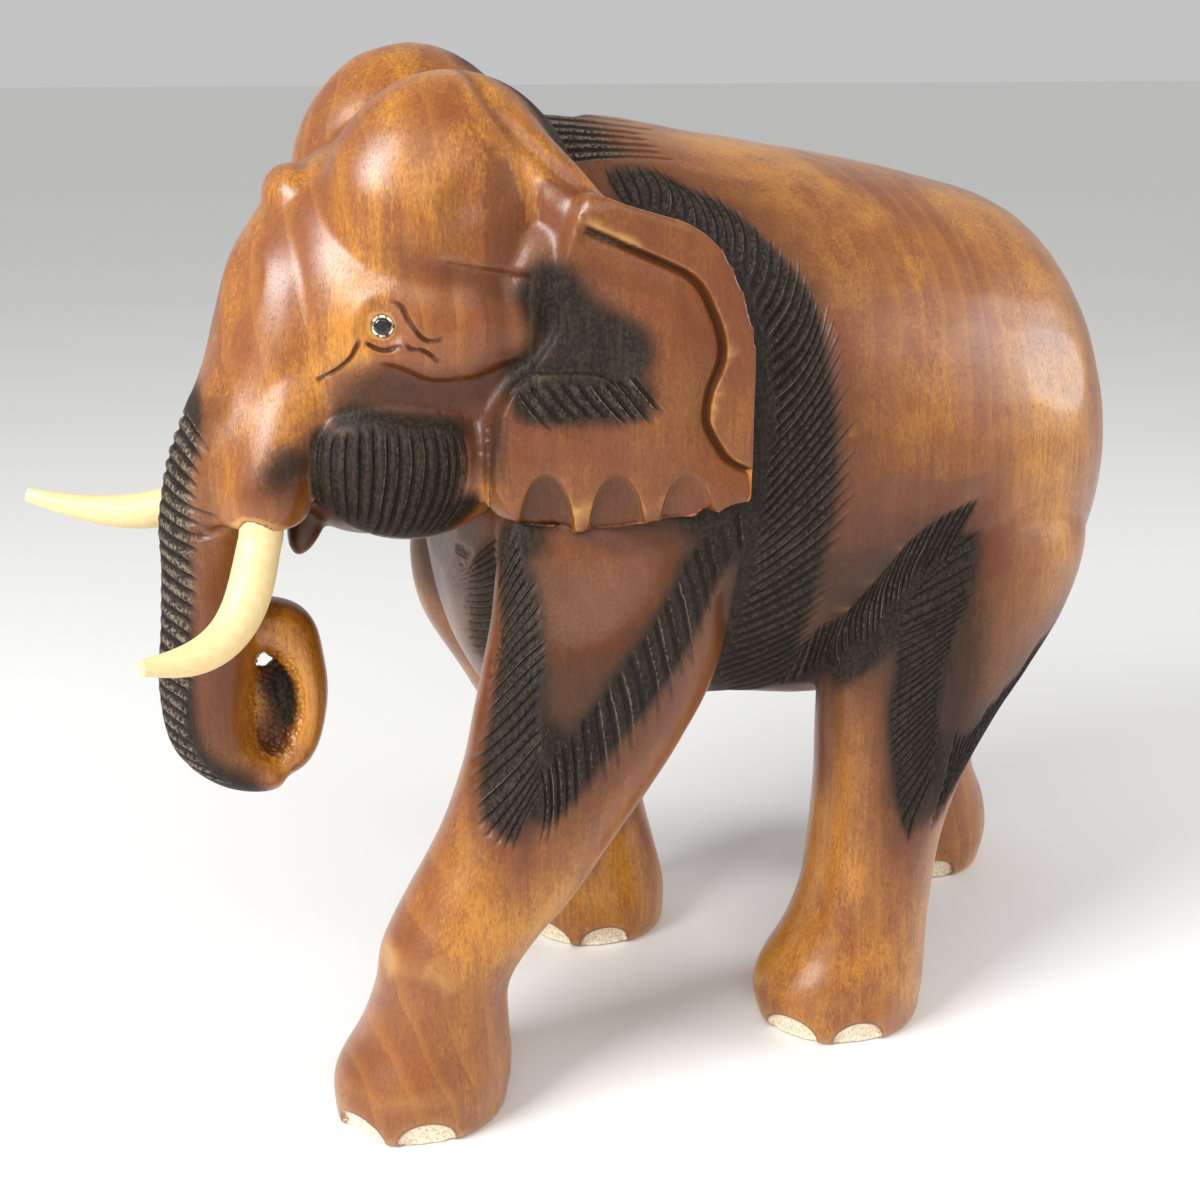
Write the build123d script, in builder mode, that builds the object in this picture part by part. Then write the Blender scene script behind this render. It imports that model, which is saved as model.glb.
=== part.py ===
from build123d import *
from math import cos, radians, sin, sqrt
import os

# Carved wooden elephant, walking. Millimetres, +Z up. It faces -X, its left side is -Y,
# its soles stand on Z = 0 and the origin is under the middle of its length and width.

# Each limb is a loft through oval girths. A girth is
# (x, y, z, lean in degrees, half depth along the leaning axis, half width along Y).
TORSO = [
    (-64, 0, 178, 90, 20, 18),
    (-58, 0, 186, 90, 52, 40),
    (-41, 0, 198, 90, 86, 58),
    (-16, 0, 200, 90, 95, 67),
    (24, 0, 198, 90, 92, 71),
    (64, 0, 194, 90, 88, 71),
    (99, 0, 191, 90, 84, 69),
    (129, 0, 187, 90, 76, 63),
    (145, 0, 185, 90, 63, 55),
    (154, 0, 183, 90, 48, 43),
    (159, 0, 181, 90, 26, 24),
]
NECK = [
    (-68, 0, 250, 90, 38, 38),
    (-30, 0, 252, 90, 43, 44),
    (4, 0, 248, 90, 43, 48),
    (32, 0, 238, 90, 42, 46),
]
HEAD = [
    (-22, 0, 242, 90, 28, 26),
    (-29, 0, 241, 90, 47, 46),
    (-48, 0, 241, 90, 54, 50),
    (-72, 0, 241, 90, 56, 48),
    (-92, 0, 236, 90, 50, 41),
    (-102, 0, 234, 90, 44, 36),
    (-108, 0, 232, 90, 34, 30),
]
# The trunk leaves the forehead, hangs straight down and turns back under itself.
TRUNK = [
    (-86, 0, 276, 0, 20, 16),
    (-94, 0, 258, 0, 24, 27),
    (-100, 0, 242, 0, 25, 31),
    (-107, 0, 226, 0, 24, 29),
    (-122, 0, 204, 8, 20, 23),
    (-128, 0, 186, 10, 17, 18.5),
    (-130, 0, 168, 4, 15.5, 16.5),
    (-132, 0, 150, 0, 15, 15.5),
    (-134.5, 0, 132, 8, 13.5, 15),
    (-133, 0, 116, 24, 12, 15),
    (-126.5, 0, 105, 55, 9.3, 14),
    (-116, 0, 101.5, 95, 7, 13),
    (-109, 0, 105, 125, 6.5, 13),
]
# The tip rises behind it and closes the curl against the trunk's back.
TRUNK_TIP = [
    (-116, 0, 102, 96, 5, 11),
    (-107.5, 0, 108, 135, 5.6, 11.8),
    (-104, 0, 122, 172, 5.6, 12),
    (-104.5, 0, 136, 190, 6, 12),
    (-110, 0, 147, 225, 7, 11),
    (-122, 0, 152, 258, 6, 10),
]
LEG_FRONT_LEFT = [
    (-14, -32, 212, 0, 28, 14),
    (-17, -44, 184, 0, 37, 19),
    (-22, -50, 155, 0, 38, 21),
    (-28, -49, 130, 0, 37, 22),
    (-36, -48, 110, 0, 33, 23),
    (-48, -47, 90, 0, 30, 23),
    (-61, -46, 70, 0, 28, 23),
    (-72, -46, 55, 0, 25, 22),
    (-79, -46, 42, 0, 21, 22),
    (-81, -46, 28, 0, 22, 23),
    (-83, -46, 14, 0, 25, 25),
    (-84, -46, 0, 0, 24, 23),
]
LEG_FRONT_RIGHT = [
    (-6, 32, 212, 0, 28, 14),
    (-11, 44, 184, 0, 35, 19),
    (-14, 49, 155, 0, 36, 22),
    (-13, 49, 130, 0, 34, 23),
    (-8, 47, 105, 0, 28, 23),
    (-2, 45, 80, 0, 25, 22),
    (3, 44, 50, 0, 24, 22),
    (7, 44, 30, 0, 24, 23),
    (8, 44, 14, 0, 26, 25),
    (9, 44, 0, 0, 24, 23),
]
LEG_REAR_LEFT = [
    (102, -32, 212, 0, 34, 14),
    (98, -44, 185, 0, 44, 19),
    (95, -49, 162, 0, 46, 21),
    (92, -50, 143, 0, 43, 22),
    (88, -49, 125, 0, 38, 23),
    (82, -48, 105, 0, 31, 23),
    (77, -47, 85, 0, 24, 23),
    (74, -46, 65, 0, 21, 22),
    (71, -46, 45, 0, 21, 22),
    (68, -46, 30, 0, 23, 23),
    (63, -46, 14, 0, 28, 26),
    (62, -46, 0, 0, 27, 24),
]
LEG_REAR_RIGHT = [
    (106, 32, 212, 0, 32, 14),
    (115, 42, 184, 0, 40, 19),
    (124, 47, 152, 0, 38, 21),
    (134, 47, 118, 0, 31, 22),
    (142, 46, 85, 0, 25, 22),
    (146, 44, 60, 0, 22, 22),
    (149, 44, 42, 0, 22, 22),
    (152, 44, 28, 0, 25, 23),
    (151, 44, 14, 0, 28, 25),
    (150, 44, 0, 0, 26, 23),
]
TAIL = [
    (142, 0, 246, 0, 8, 7),
    (154, 0, 218, 0, 6, 6),
    (159, 0, 188, 0, 5, 5),
    (158, 0, 160, 0, 5, 5),
    (153, 0, 138, 0, 5, 5),
    (145, 0, 120, 0, 6, 6),
    (138, 0, 106, 0, 4, 4),
]

# The twin domes of the skull, the right one carved a little higher.
DOME_RISES = (-0.7, -0.4, 0, 0.45, 0.72, 0.9, 0.985)
RIGHT_DOME = (-58, 25, 270, 38, 28, 44)     # centre x, y, z, then half length, half width, height
LEFT_DOME = (-58, -22, 266, 36, 28, 40)

CHEEK_RADIUS = 22
CHEEK_CENTRE = (-74, 28, 206)
LIP_RADIUS = 14
LIP_CENTRE = (-116, 22, 197)

# Ears: flat lobes that lie back against the neck and shoulders.
EAR_THICK = 10
EAR_SLANT = 18.3                            # the rear edge stands further out than the front
EAR_ORIGIN = (-61, 53, 0)
# Along the face from the origin, then up: front edge, hem, rear edge, top.
EAR_OUTLINE = [(27, 240), (14, 226), (9, 202), (16, 187), (35, 183), (56, 185), (76, 190),
               (81, 215), (78, 243), (64, 269), (46, 275), (31, 266)]

# Tusks: round, tapered and curved, each with a straight butt in a drilled socket.
TUSK_RADIUS = 6.2
SOCKET_CLEARANCE = 0.05
SOCKET_DEPTH = 14
BUTT_GAP = 0.5                              # between the butt's end and the socket's floor
BUTT_SHOWING = 3                            # straight length outside the mouth
LIP_RELIEF = 8                              # the drill also clears the lip around the mouth
# Mouth of the socket, outward direction of the butt, then (x, y, z, radius) along the curve.
LEFT_TUSK_MOUTH = (-120, -27, 185)
LEFT_TUSK_OUT = (-0.16, -0.12, -1)
LEFT_TUSK = [
    (-123.5, -30.0, 173, 6.3),
    (-127.5, -33.0, 164, 6.2),
    (-135, -37.5, 156.5, 5.6),
    (-146, -42.0, 153.5, 4.4),
    (-158, -46.0, 154.5, 2.4),
]
RIGHT_TUSK_MOUTH = (-122, 27, 186)
RIGHT_TUSK_OUT = (-0.82, 0.22, -0.52)
RIGHT_TUSK = [
    (-131, 29.5, 181.0, 6.2),
    (-141.5, 32.5, 178.0, 5.9),
    (-155, 37.5, 177.5, 4.8),
    (-167, 42.5, 179.5, 3.5),
    (-178, 47.5, 182.5, 2.1),
]

# Eyes: a pale filler ring and a black bead in a shallow round recess in each temple.
EYE_CENTRE = (-87, 43, 242)
EYE_OUT = (-0.35, 1, 0)
RECESS_RADIUS = 3.0
RECESS_DEPTH = 4.0
RING_PROUD = 0.3                            # the ring's face stands this far out of the wood
BEAD_RADIUS = 2.4
BEAD_PROUD = 1.2
BEAD_ROUND = 1.0

SIDES = {"left": -1, "right": 1}


def to_side(point, side):
    """The point or direction on one side of the middle plane."""
    return (point[0], point[1] * side, point[2])


with BuildPart() as carving:
    limbs = (TORSO, HEAD, TRUNK, TRUNK_TIP, NECK, LEG_FRONT_LEFT, LEG_FRONT_RIGHT,
             LEG_REAR_LEFT, LEG_REAR_RIGHT, TAIL)
    for limb in limbs:
        for x, y, z, lean, half_deep, half_wide in limb:
            across = (cos(radians(lean)), 0, sin(radians(lean)))
            along = (sin(radians(lean)), 0, -cos(radians(lean)))
            with BuildSketch(Plane((x, y, z), x_dir=across, z_dir=along)):
                Ellipse(half_deep, half_wide)
        loft()
    for x, y, z, half_long, half_wide, height in (LEFT_DOME, RIGHT_DOME):
        for rise in DOME_RISES:
            shrink = sqrt(1 - rise ** 2)
            with BuildSketch(Plane((x, y, z + rise * height))):
                Ellipse(half_long * shrink, half_wide * shrink)
        loft()
    for side in SIDES.values():
        with Locations(to_side(CHEEK_CENTRE, side)):
            Sphere(CHEEK_RADIUS)
        with Locations(to_side(LIP_CENTRE, side)):
            Sphere(LIP_RADIUS)
        # An ear's outline is drawn on its outer face, which slants out to the rear.
        slant = (cos(radians(EAR_SLANT)), side * sin(radians(EAR_SLANT)), 0)
        inward = (side * slant[1], -side * slant[0], 0)
        with BuildSketch(Plane(to_side(EAR_ORIGIN, side), x_dir=slant, z_dir=inward)) as ear_face:
            with BuildLine():
                up = ear_face.workplanes[0].y_dir.Z
                Spline(*[(u, v * up) for u, v in EAR_OUTLINE], periodic=True)
            make_face()
        extrude(amount=EAR_THICK)
    # Tusk sockets, each drilled along its tusk's butt and blind in the head.
    for mouth, out in ((LEFT_TUSK_MOUTH, LEFT_TUSK_OUT), (RIGHT_TUSK_MOUTH, RIGHT_TUSK_OUT)):
        with BuildSketch(Plane(mouth, z_dir=out)):
            Circle(TUSK_RADIUS + SOCKET_CLEARANCE)
        extrude(amount=-SOCKET_DEPTH, mode=Mode.SUBTRACT)
        with BuildSketch(Plane(mouth, z_dir=out)):
            Circle(TUSK_RADIUS + SOCKET_CLEARANCE)
        extrude(amount=LIP_RELIEF, mode=Mode.SUBTRACT)
    # Eye recesses.
    for side in SIDES.values():
        with BuildSketch(Plane(to_side(EYE_CENTRE, side), z_dir=to_side(EYE_OUT, side))):
            Circle(RECESS_RADIUS)
        extrude(amount=RECESS_DEPTH, both=True, mode=Mode.SUBTRACT)

carving.part.label = "carving"

tusks = []
for name, mouth, out, curve in (("tusk_left", LEFT_TUSK_MOUTH, LEFT_TUSK_OUT, LEFT_TUSK),
                                ("tusk_right", RIGHT_TUSK_MOUTH, RIGHT_TUSK_OUT, RIGHT_TUSK)):
    butt = Plane(mouth, z_dir=out)
    shoulder = butt.offset(BUTT_SHOWING)
    centres = [shoulder.origin] + [Vector(x, y, z) for x, y, z, radius in curve]
    with BuildPart() as tusk:
        with BuildSketch(butt.offset(BUTT_GAP - SOCKET_DEPTH)):
            Circle(TUSK_RADIUS)
        extrude(amount=SOCKET_DEPTH - BUTT_GAP + BUTT_SHOWING)
        with BuildSketch(Plane(shoulder.origin, x_dir=Vector(0, 1, 0).cross(butt.z_dir), z_dir=butt.z_dir)):
            Circle(TUSK_RADIUS)
        for i in range(1, len(centres)):
            ahead = centres[min(i + 1, len(centres) - 1)] - centres[i - 1]
            with BuildSketch(Plane(centres[i], x_dir=Vector(0, 1, 0).cross(ahead), z_dir=ahead)):
                Circle(curve[i - 1][3])
        loft()
    tusk.part.label = name
    tusks.append(tusk)

inlays = []
for name, side in SIDES.items():
    face = Plane(to_side(EYE_CENTRE, side), z_dir=to_side(EYE_OUT, side))
    with BuildPart() as eye_ring:
        with BuildSketch(face.offset(-RECESS_DEPTH)):
            Circle(RECESS_RADIUS)
            Circle(BEAD_RADIUS, mode=Mode.SUBTRACT)
        extrude(amount=RECESS_DEPTH + RING_PROUD)
    eye_ring.part.label = "eye_ring_" + name
    with BuildPart() as eye_bead:
        with BuildSketch(face.offset(-RECESS_DEPTH)):
            Circle(BEAD_RADIUS)
        extrude(amount=RECESS_DEPTH + BEAD_PROUD)
        rims = eye_bead.edges().filter_by(GeomType.CIRCLE)
        fillet(rims.sort_by_distance(face.offset(BEAD_PROUD).origin)[0], BEAD_ROUND)
    eye_bead.part.label = "eye_bead_" + name
    inlays += [eye_ring, eye_bead]

os.makedirs("parts", exist_ok=True)
for piece in [carving] + tusks + inlays:
    export_step(piece.part, "parts/" + piece.part.label + ".step")
    box = piece.part.bounding_box()
    print(piece.part.label, piece.part.is_valid, round(piece.part.volume), box.min, box.max)
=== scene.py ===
import bpy
import numpy as np
from math import cos, pi, radians, sin
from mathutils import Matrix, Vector
from mathutils.kdtree import KDTree


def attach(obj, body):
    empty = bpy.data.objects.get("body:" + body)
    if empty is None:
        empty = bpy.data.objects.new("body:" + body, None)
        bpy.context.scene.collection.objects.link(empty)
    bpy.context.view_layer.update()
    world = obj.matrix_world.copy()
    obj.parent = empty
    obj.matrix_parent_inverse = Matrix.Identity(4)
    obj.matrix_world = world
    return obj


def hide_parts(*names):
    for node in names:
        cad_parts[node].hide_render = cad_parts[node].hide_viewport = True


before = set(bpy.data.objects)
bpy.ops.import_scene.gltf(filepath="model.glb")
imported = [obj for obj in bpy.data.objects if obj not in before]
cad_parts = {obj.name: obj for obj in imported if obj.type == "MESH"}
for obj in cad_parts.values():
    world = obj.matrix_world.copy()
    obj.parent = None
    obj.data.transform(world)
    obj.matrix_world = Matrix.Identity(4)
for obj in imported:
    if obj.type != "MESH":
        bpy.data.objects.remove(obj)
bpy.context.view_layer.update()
bpy.ops.object.select_all(action="DESELECT")

# ---------------------------------------------------------------- body, legs and tail
# The block behind the head: one piece of hardwood, roughed out with an axe, rounded with a
# gouge and sanded. It is built up from girths and lumps that are then fused into one skin.
MM = 0.001


def curve_through(points, t):
    """Points on the smooth line through the rows of a list, at whole-number steps of t."""
    p = np.array(points, float)
    p = np.vstack([2 * p[0] - p[1], p, 2 * p[-1] - p[-2]])
    i = np.clip(np.floor(t).astype(int), 0, len(points) - 2)
    f = (t - i)[:, None]
    a, b, c, d = p[i], p[i + 1], p[i + 2], p[i + 3]
    return b + 0.5 * f * (c - a + f * (2 * a - 5 * b + 4 * c - d + f * (3 * (b - c) + d - a)))


def limb(name, girths, steps=5, sides=48):
    """A closed limb through oval girths (x, y, z, lean, half depth, half width), in mm."""
    bpy.ops.mesh.primitive_cylinder_add(vertices=sides, radius=1, depth=1, location=(0, 0, 0.5))
    tube = bpy.context.object
    tube.name = name
    bpy.ops.object.transform_apply()
    for part in (tube.data.vertices, tube.data.edges, tube.data.polygons):
        part.foreach_set("select", np.zeros(len(part), bool))
    max(tube.data.polygons, key=lambda f: f.center.z).select = True
    bpy.context.tool_settings.mesh_select_mode = (False, False, True)
    bpy.ops.object.mode_set(mode="EDIT")
    for _ in range((len(girths) - 1) * steps - 1):
        bpy.ops.mesh.extrude_region_move(TRANSFORM_OT_translate={"value": (0, 0, 1)})
    bpy.ops.object.mode_set(mode="OBJECT")
    unit = places(tube) * MM
    girth = curve_through(girths, unit[:, 2] / steps)
    lean = np.radians(girth[:, 3])
    deep = unit[:, 0] * girth[:, 4]
    wide = unit[:, 1] * girth[:, 5]
    move(tube, girth[:, :3] + np.stack([deep * np.cos(lean), wide, deep * np.sin(lean)], 1))
    return tube


def lump(name, centre, radii, tip=0, turn=0):
    """A rounded lump in mm, tipped about Y and turned about Z by angles in degrees."""
    bpy.ops.mesh.primitive_uv_sphere_add(segments=48, ring_count=24, location=Vector(centre) * MM,
                                         scale=Vector(radii) * MM,
                                         rotation=(0, radians(-tip), radians(turn)))
    bpy.context.object.name = name
    bpy.ops.object.transform_apply()
    return bpy.context.object


def places(piece):
    """The piece's vertices in mm."""
    co = np.empty(len(piece.data.vertices) * 3)
    piece.data.vertices.foreach_get("co", co)
    return co.reshape(-1, 3) / MM


def move(piece, co):
    """Puts the piece's vertices at places in mm."""
    piece.data.vertices.foreach_set("co", (co * MM).ravel())
    piece.data.update()


def fuse(name, lumps, grain, soften):
    """Joins the lumps into one closed skin with faces about grain mm wide."""
    bpy.ops.object.select_all(action="DESELECT")
    for part in lumps:
        part.select_set(True)
    bpy.context.view_layer.objects.active = lumps[0]
    bpy.ops.object.join()
    skin = bpy.context.object
    skin.name = name
    bpy.ops.object.mode_set(mode="EDIT")
    bpy.ops.mesh.select_all(action="SELECT")
    bpy.ops.mesh.normals_make_consistent(inside=False)
    bpy.ops.object.mode_set(mode="OBJECT")
    remesh = skin.modifiers.new("one skin", "REMESH")
    remesh.mode = "VOXEL"
    remesh.voxel_size = grain * MM
    bpy.ops.object.modifier_apply(modifier=remesh.name)
    smooth = skin.modifiers.new("sanding", "SMOOTH")
    smooth.factor = 0.5
    smooth.iterations = soften
    bpy.ops.object.modifier_apply(modifier=smooth.name)
    bpy.ops.object.select_all(action="DESELECT")
    return skin


def facing(piece):
    """The direction that each vertex faces."""
    way = np.empty(len(piece.data.vertices) * 3)
    piece.data.vertex_normals.foreach_get("vector", way)
    return way.reshape(-1, 3)


def ease(value, low, high):
    """0 below low, 1 above high and a smooth rise between."""
    t = np.clip((value - low) / (high - low), 0, 1)
    return t * t * (3 - 2 * t)


def as_left(co):
    """Places folded over the middle plane onto the left side, where cuts are drawn."""
    return co * (1, 0, 1) - np.abs(co) * (0, 1, 0)


def reach(co, path, far=30):
    """Each place's distance from a smooth line in mm, and how far along the line it is, 0 to 1."""
    steps = np.linspace(0, len(path) - 1, 10 * (len(path) - 1) + 1)
    line = curve_through(path, steps)
    gap = np.full(len(co), 1000.0)
    share = np.zeros(len(co))
    close = np.flatnonzero(np.all((co > line.min(0) - far) & (co < line.max(0) + far), axis=1))
    for step, point in zip(steps / steps[-1], line):
        here = np.linalg.norm(co[close] - point, axis=1)
        nearer = here < gap[close]
        gap[close[nearer]] = here[nearer]
        share[close[nearer]] = step
    return gap, share


def side_of(points, path):
    """Signed distance from a flat line, positive on its left hand, and how far past its ends."""
    steps = np.linspace(0, len(path) - 1, 10 * (len(path) - 1) + 1)
    line = curve_through(path, steps)
    run = np.gradient(line, axis=0)
    run /= np.linalg.norm(run, axis=1)[:, None]
    best = np.full(len(points), 1e9)
    pick = np.zeros(len(points), int)
    for i, point in enumerate(line):
        here = np.linalg.norm(points - point, axis=1)
        nearer = here < best
        best[nearer] = here[nearer]
        pick[nearer] = i
    off = points - line[pick]
    left = run[pick, 0] * off[:, 1] - run[pick, 1] * off[:, 0]
    past = np.where((pick == 0) | (pick == len(line) - 1), np.abs(np.sum(run[pick] * off, axis=1)), 0)
    return left, past


def score(co, way, path, width, depth, ends=0.15):
    """Cuts a V groove along a line on the left side and its mirror, thinning out at both ends."""
    gap, share = reach(as_left(co), path, width)
    taper = ease(share, -0.01, ends) * ease(1 - share, -0.01, ends)
    co -= way * (depth * np.clip(1 - gap / width, 0, 1) * taper)[:, None]


def dent(co, way, path, radius, depth):
    """Hollows out, or with a negative depth raises, a soft strip along a line and its mirror."""
    gap = reach(as_left(co), path, 2.5 * radius)[0]
    co -= way * (depth * np.exp(-(gap / radius) ** 2))[:, None]


def ledge(co, way, path, depth, run, sharp=1.0):
    """Cuts a step: deepest just left of a line drawn in side view, rising to nothing over run mm."""
    flat = co[:, (0, 2)]
    close = np.flatnonzero(np.all((flat > np.min(path, 0) - 2.5 * run)
                                  & (flat < np.max(path, 0) + 2.5 * run), axis=1)
                           & (way[:, 1] * np.sign(co[:, 1]) > 0.1))
    left, past = side_of(flat[close], path)
    cut = depth * ease(left, 0, sharp) * np.exp(-np.maximum(left, 0) / run) * np.exp(-(past / 5) ** 2)
    co[close] -= way[close] * cut[:, None]


def refine(piece, chosen, cuts=1):
    """Splits the faces round the chosen vertices so that fine cuts keep their edges."""
    picked = np.zeros(len(piece.data.vertices), bool)
    picked[chosen] = True
    corners = np.empty(len(piece.data.loops), int)
    piece.data.loops.foreach_get("vertex_index", corners)
    starts = np.empty(len(piece.data.polygons), int)
    piece.data.polygons.foreach_get("loop_start", starts)
    faces = np.add.reduceat(picked[corners].astype(int), starts) > 0
    piece.data.vertices.foreach_set("select", np.zeros(len(piece.data.vertices), bool))
    piece.data.edges.foreach_set("select", np.zeros(len(piece.data.edges), bool))
    piece.data.polygons.foreach_set("select", faces)
    bpy.ops.object.select_all(action="DESELECT")
    piece.select_set(True)
    bpy.context.view_layer.objects.active = piece
    bpy.ops.object.mode_set(mode="EDIT")
    bpy.ops.mesh.subdivide(number_cuts=cuts)
    bpy.ops.object.mode_set(mode="OBJECT")


def thin_out(piece, most):
    """Merges faces on the plain stretches until at most the given number of triangles is left."""
    now = sum(len(face.vertices) - 2 for face in piece.data.polygons)
    if now > most:
        fewer = piece.modifiers.new("thin out", "DECIMATE")
        fewer.ratio = most / now
        bpy.context.view_layer.objects.active = piece
        bpy.ops.object.modifier_apply(modifier=fewer.name)


def stroke_place(strokes, number, share):
    """The place in a flat view at a stroke's number and a share of its length."""
    rows = np.array([sum(points, ()) for _, *points in strokes], float)
    numbers = [stroke[0] for stroke in strokes]
    inside = np.clip(number, numbers[0], numbers[-1])
    row = curve_through(rows, np.interp(inside, numbers, np.arange(len(numbers))))
    fan = curve_through(rows, np.interp(inside + 0.01, numbers + [numbers[-1] + 1],
                                        np.append(np.arange(len(numbers)), len(numbers) - 1 + 0.2)))
    back = curve_through(rows, np.interp(inside - 0.01, numbers, np.arange(len(numbers))))
    row = row + (number - inside)[:, None] * (fan - back) / 0.02
    share = share[:, None]
    return (row[:, :2] * (1 - share) * (1 - 2 * share) + 4 * row[:, 2:4] * share * (1 - share)
            + row[:, 4:] * share * (2 * share - 1))


def stroke_map(strokes, flat, close_by=5):
    """For each flat place: its stroke number, its share along the stroke, and 1 if it is close."""
    last = strokes[-1][0]
    net = np.array([(n, s) for n in np.arange(0, last + 0.5, 0.5) for s in np.linspace(0, 1, 13)])
    knots = stroke_place(strokes, net[:, 0], net[:, 1])
    tree = KDTree(len(knots))
    for i, (x, z) in enumerate(knots):
        tree.insert((x, z, 0), i)
    tree.balance()
    result = np.zeros((len(flat), 3))
    box = np.flatnonzero(np.all((flat > knots.min(0) - 2 * close_by)
                                & (flat < knots.max(0) + 2 * close_by), axis=1))
    found = [tree.find((x, z, 0)) for x, z in flat[box]]
    start = net[np.array([f[1] for f in found], int)]
    number, share = start[:, 0].copy(), start[:, 1].copy()
    nudge = 0.02
    for _ in range(4):
        here = stroke_place(strokes, number, share)
        by_number = (stroke_place(strokes, number + nudge, share) - here) / nudge
        by_share = (stroke_place(strokes, number, share + nudge) - here) / nudge
        off = flat[box] - here
        area = by_number[:, 0] * by_share[:, 1] - by_number[:, 1] * by_share[:, 0]
        area = np.where(np.abs(area) < 0.5, 0.5 * np.where(area < 0, -1, 1), area)
        number += np.clip((off[:, 0] * by_share[:, 1] - off[:, 1] * by_share[:, 0]) / area, -1.5, 1.5)
        share += np.clip((by_number[:, 0] * off[:, 1] - by_number[:, 1] * off[:, 0]) / area, -0.3, 0.3)
        number = np.clip(number, -2.5, last + 2.5)
        share = np.clip(share, -0.6, 1.6)
    gap = np.array([f[2] for f in found])
    result[box] = np.stack([number, share, 1 - ease(gap, 0.4 * close_by, 0.8 * close_by)], 1)
    return result


def stroke_cut(place, last):
    """Depth of the veiner's cuts, 0 to 1, from stroke numbers and shares."""
    number = np.round(place[:, 0])
    luck = 0.5 + 0.5 * np.sin(2.4 * number + 3 * np.sin(1.7 * number))
    vee = np.clip(1 - np.abs(place[:, 0] - number) / 0.36, 0, 1)
    ends = ease(place[:, 1], -0.04 + 0.08 * luck, 0.12 + 0.08 * luck) \
        * (1 - ease(place[:, 1], 0.82 + 0.14 * luck, 0.98 + 0.14 * luck))
    return vee * ends * (number > -0.5) * (number < last + 0.5) * np.clip(place[:, 2], 0, 1)


def store(piece, name, values):
    """Keeps a number or a triple on every vertex for the wood's material to read."""
    kind = "FLOAT" if values.ndim == 1 else "FLOAT_VECTOR"
    layer = piece.data.attributes.new(name, kind, "POINT")
    layer.data.foreach_set("value" if values.ndim == 1 else "vector", values.astype(np.float32).ravel())


def spread(piece, values, rounds):
    """Values averaged with their neighbours' again and again, as an airbrush's edge spreads."""
    pairs = np.empty(len(piece.data.edges) * 2, int)
    piece.data.edges.foreach_get("vertices", pairs)
    one, two = pairs[::2], pairs[1::2]
    share = np.bincount(pairs, minlength=len(values))
    for _ in range(rounds):
        total = np.bincount(one, values[two], len(values)) + np.bincount(two, values[one], len(values))
        values = 0.5 * values + 0.5 * total / share
    return values


def hollowness(piece, co, way):
    """How far each vertex lies below, or above if negative, the skin smoothed round it, in mm."""
    calm = np.stack([spread(piece, co[:, i], 8) for i in range(3)], 1)
    return spread(piece, np.sum((calm - co) * way, axis=1), 2)


def drill(co, mouth, out, radius, deep, clear):
    """Pushes the skin inside a drill's path down to the bottom of its hole."""
    out = np.array(out, float) / np.linalg.norm(out)
    off = co - mouth
    along = off @ out
    from_axis = np.linalg.norm(off - along[:, None] * out, axis=1)
    inside = (from_axis < radius) & (along > -deep) & (along < clear)
    co[inside] -= out * (along[inside] + deep)[:, None]


def pare(co, seed, out, reach_mm, depth):
    """Shaves a flat facet, as a knife does, off the bulge round a seed, and its mirror."""
    out = np.array(out, float) / np.linalg.norm(out)
    folded = as_left(co)
    gap = np.linalg.norm(folded - seed, axis=1)
    near = np.flatnonzero(gap < reach_mm)
    rise = folded[near] @ out
    excess = np.maximum(rise - (rise.max() - depth), 0) * (1 - ease(gap[near], 0.75 * reach_mm, reach_mm))
    mirror = np.where(co[near, 1] > 0, -1, 1)
    co[near] -= (excess[:, None] * out) * np.stack([np.ones(len(near)), mirror, np.ones(len(near))], 1)


def handwork(co, way, height):
    """The slight unevenness of a surface shaped by eye with chisel and rasp."""
    x, y, z = co.T
    # Uneven waves, 20 to 70 mm long, laid over one another.
    wave = np.sin(x / 5.1 + 1.3 * np.sin(z / 8.7)) * np.sin(z / 6.3 + 1.1 * np.sin(y / 7.9))
    wave += (0.7 * np.sin(x / 8.9 + z / 11.3 + 1.7 * np.sin(y / 9.7))
             + 0.5 * np.sin(z / 3.7 + y / 4.9) * np.sin(x / 4.3))
    co += way * (height * wave)[:, None]


def spray(co, path, radius, soft):
    """Sprayed cover, 0 to 1, along a line on the left side and its mirror, for stain, soot, painted shade
    and masks.
    """
    gap = reach(as_left(co), path, radius + soft + 1)[0]
    return 1 - ease(gap, radius - soft, radius + soft)


def spray_lines(cover, co, lines, where=1):
    """Adds sprayed lines, each a strength, radius, softness and path in mm, to a cover of stain, soot and
    painted shade.
    """
    for strength, radius, soft, path in lines:
        cover = np.maximum(cover, strength * spray(co, path, radius, soft) * where)
    return cover


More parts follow.
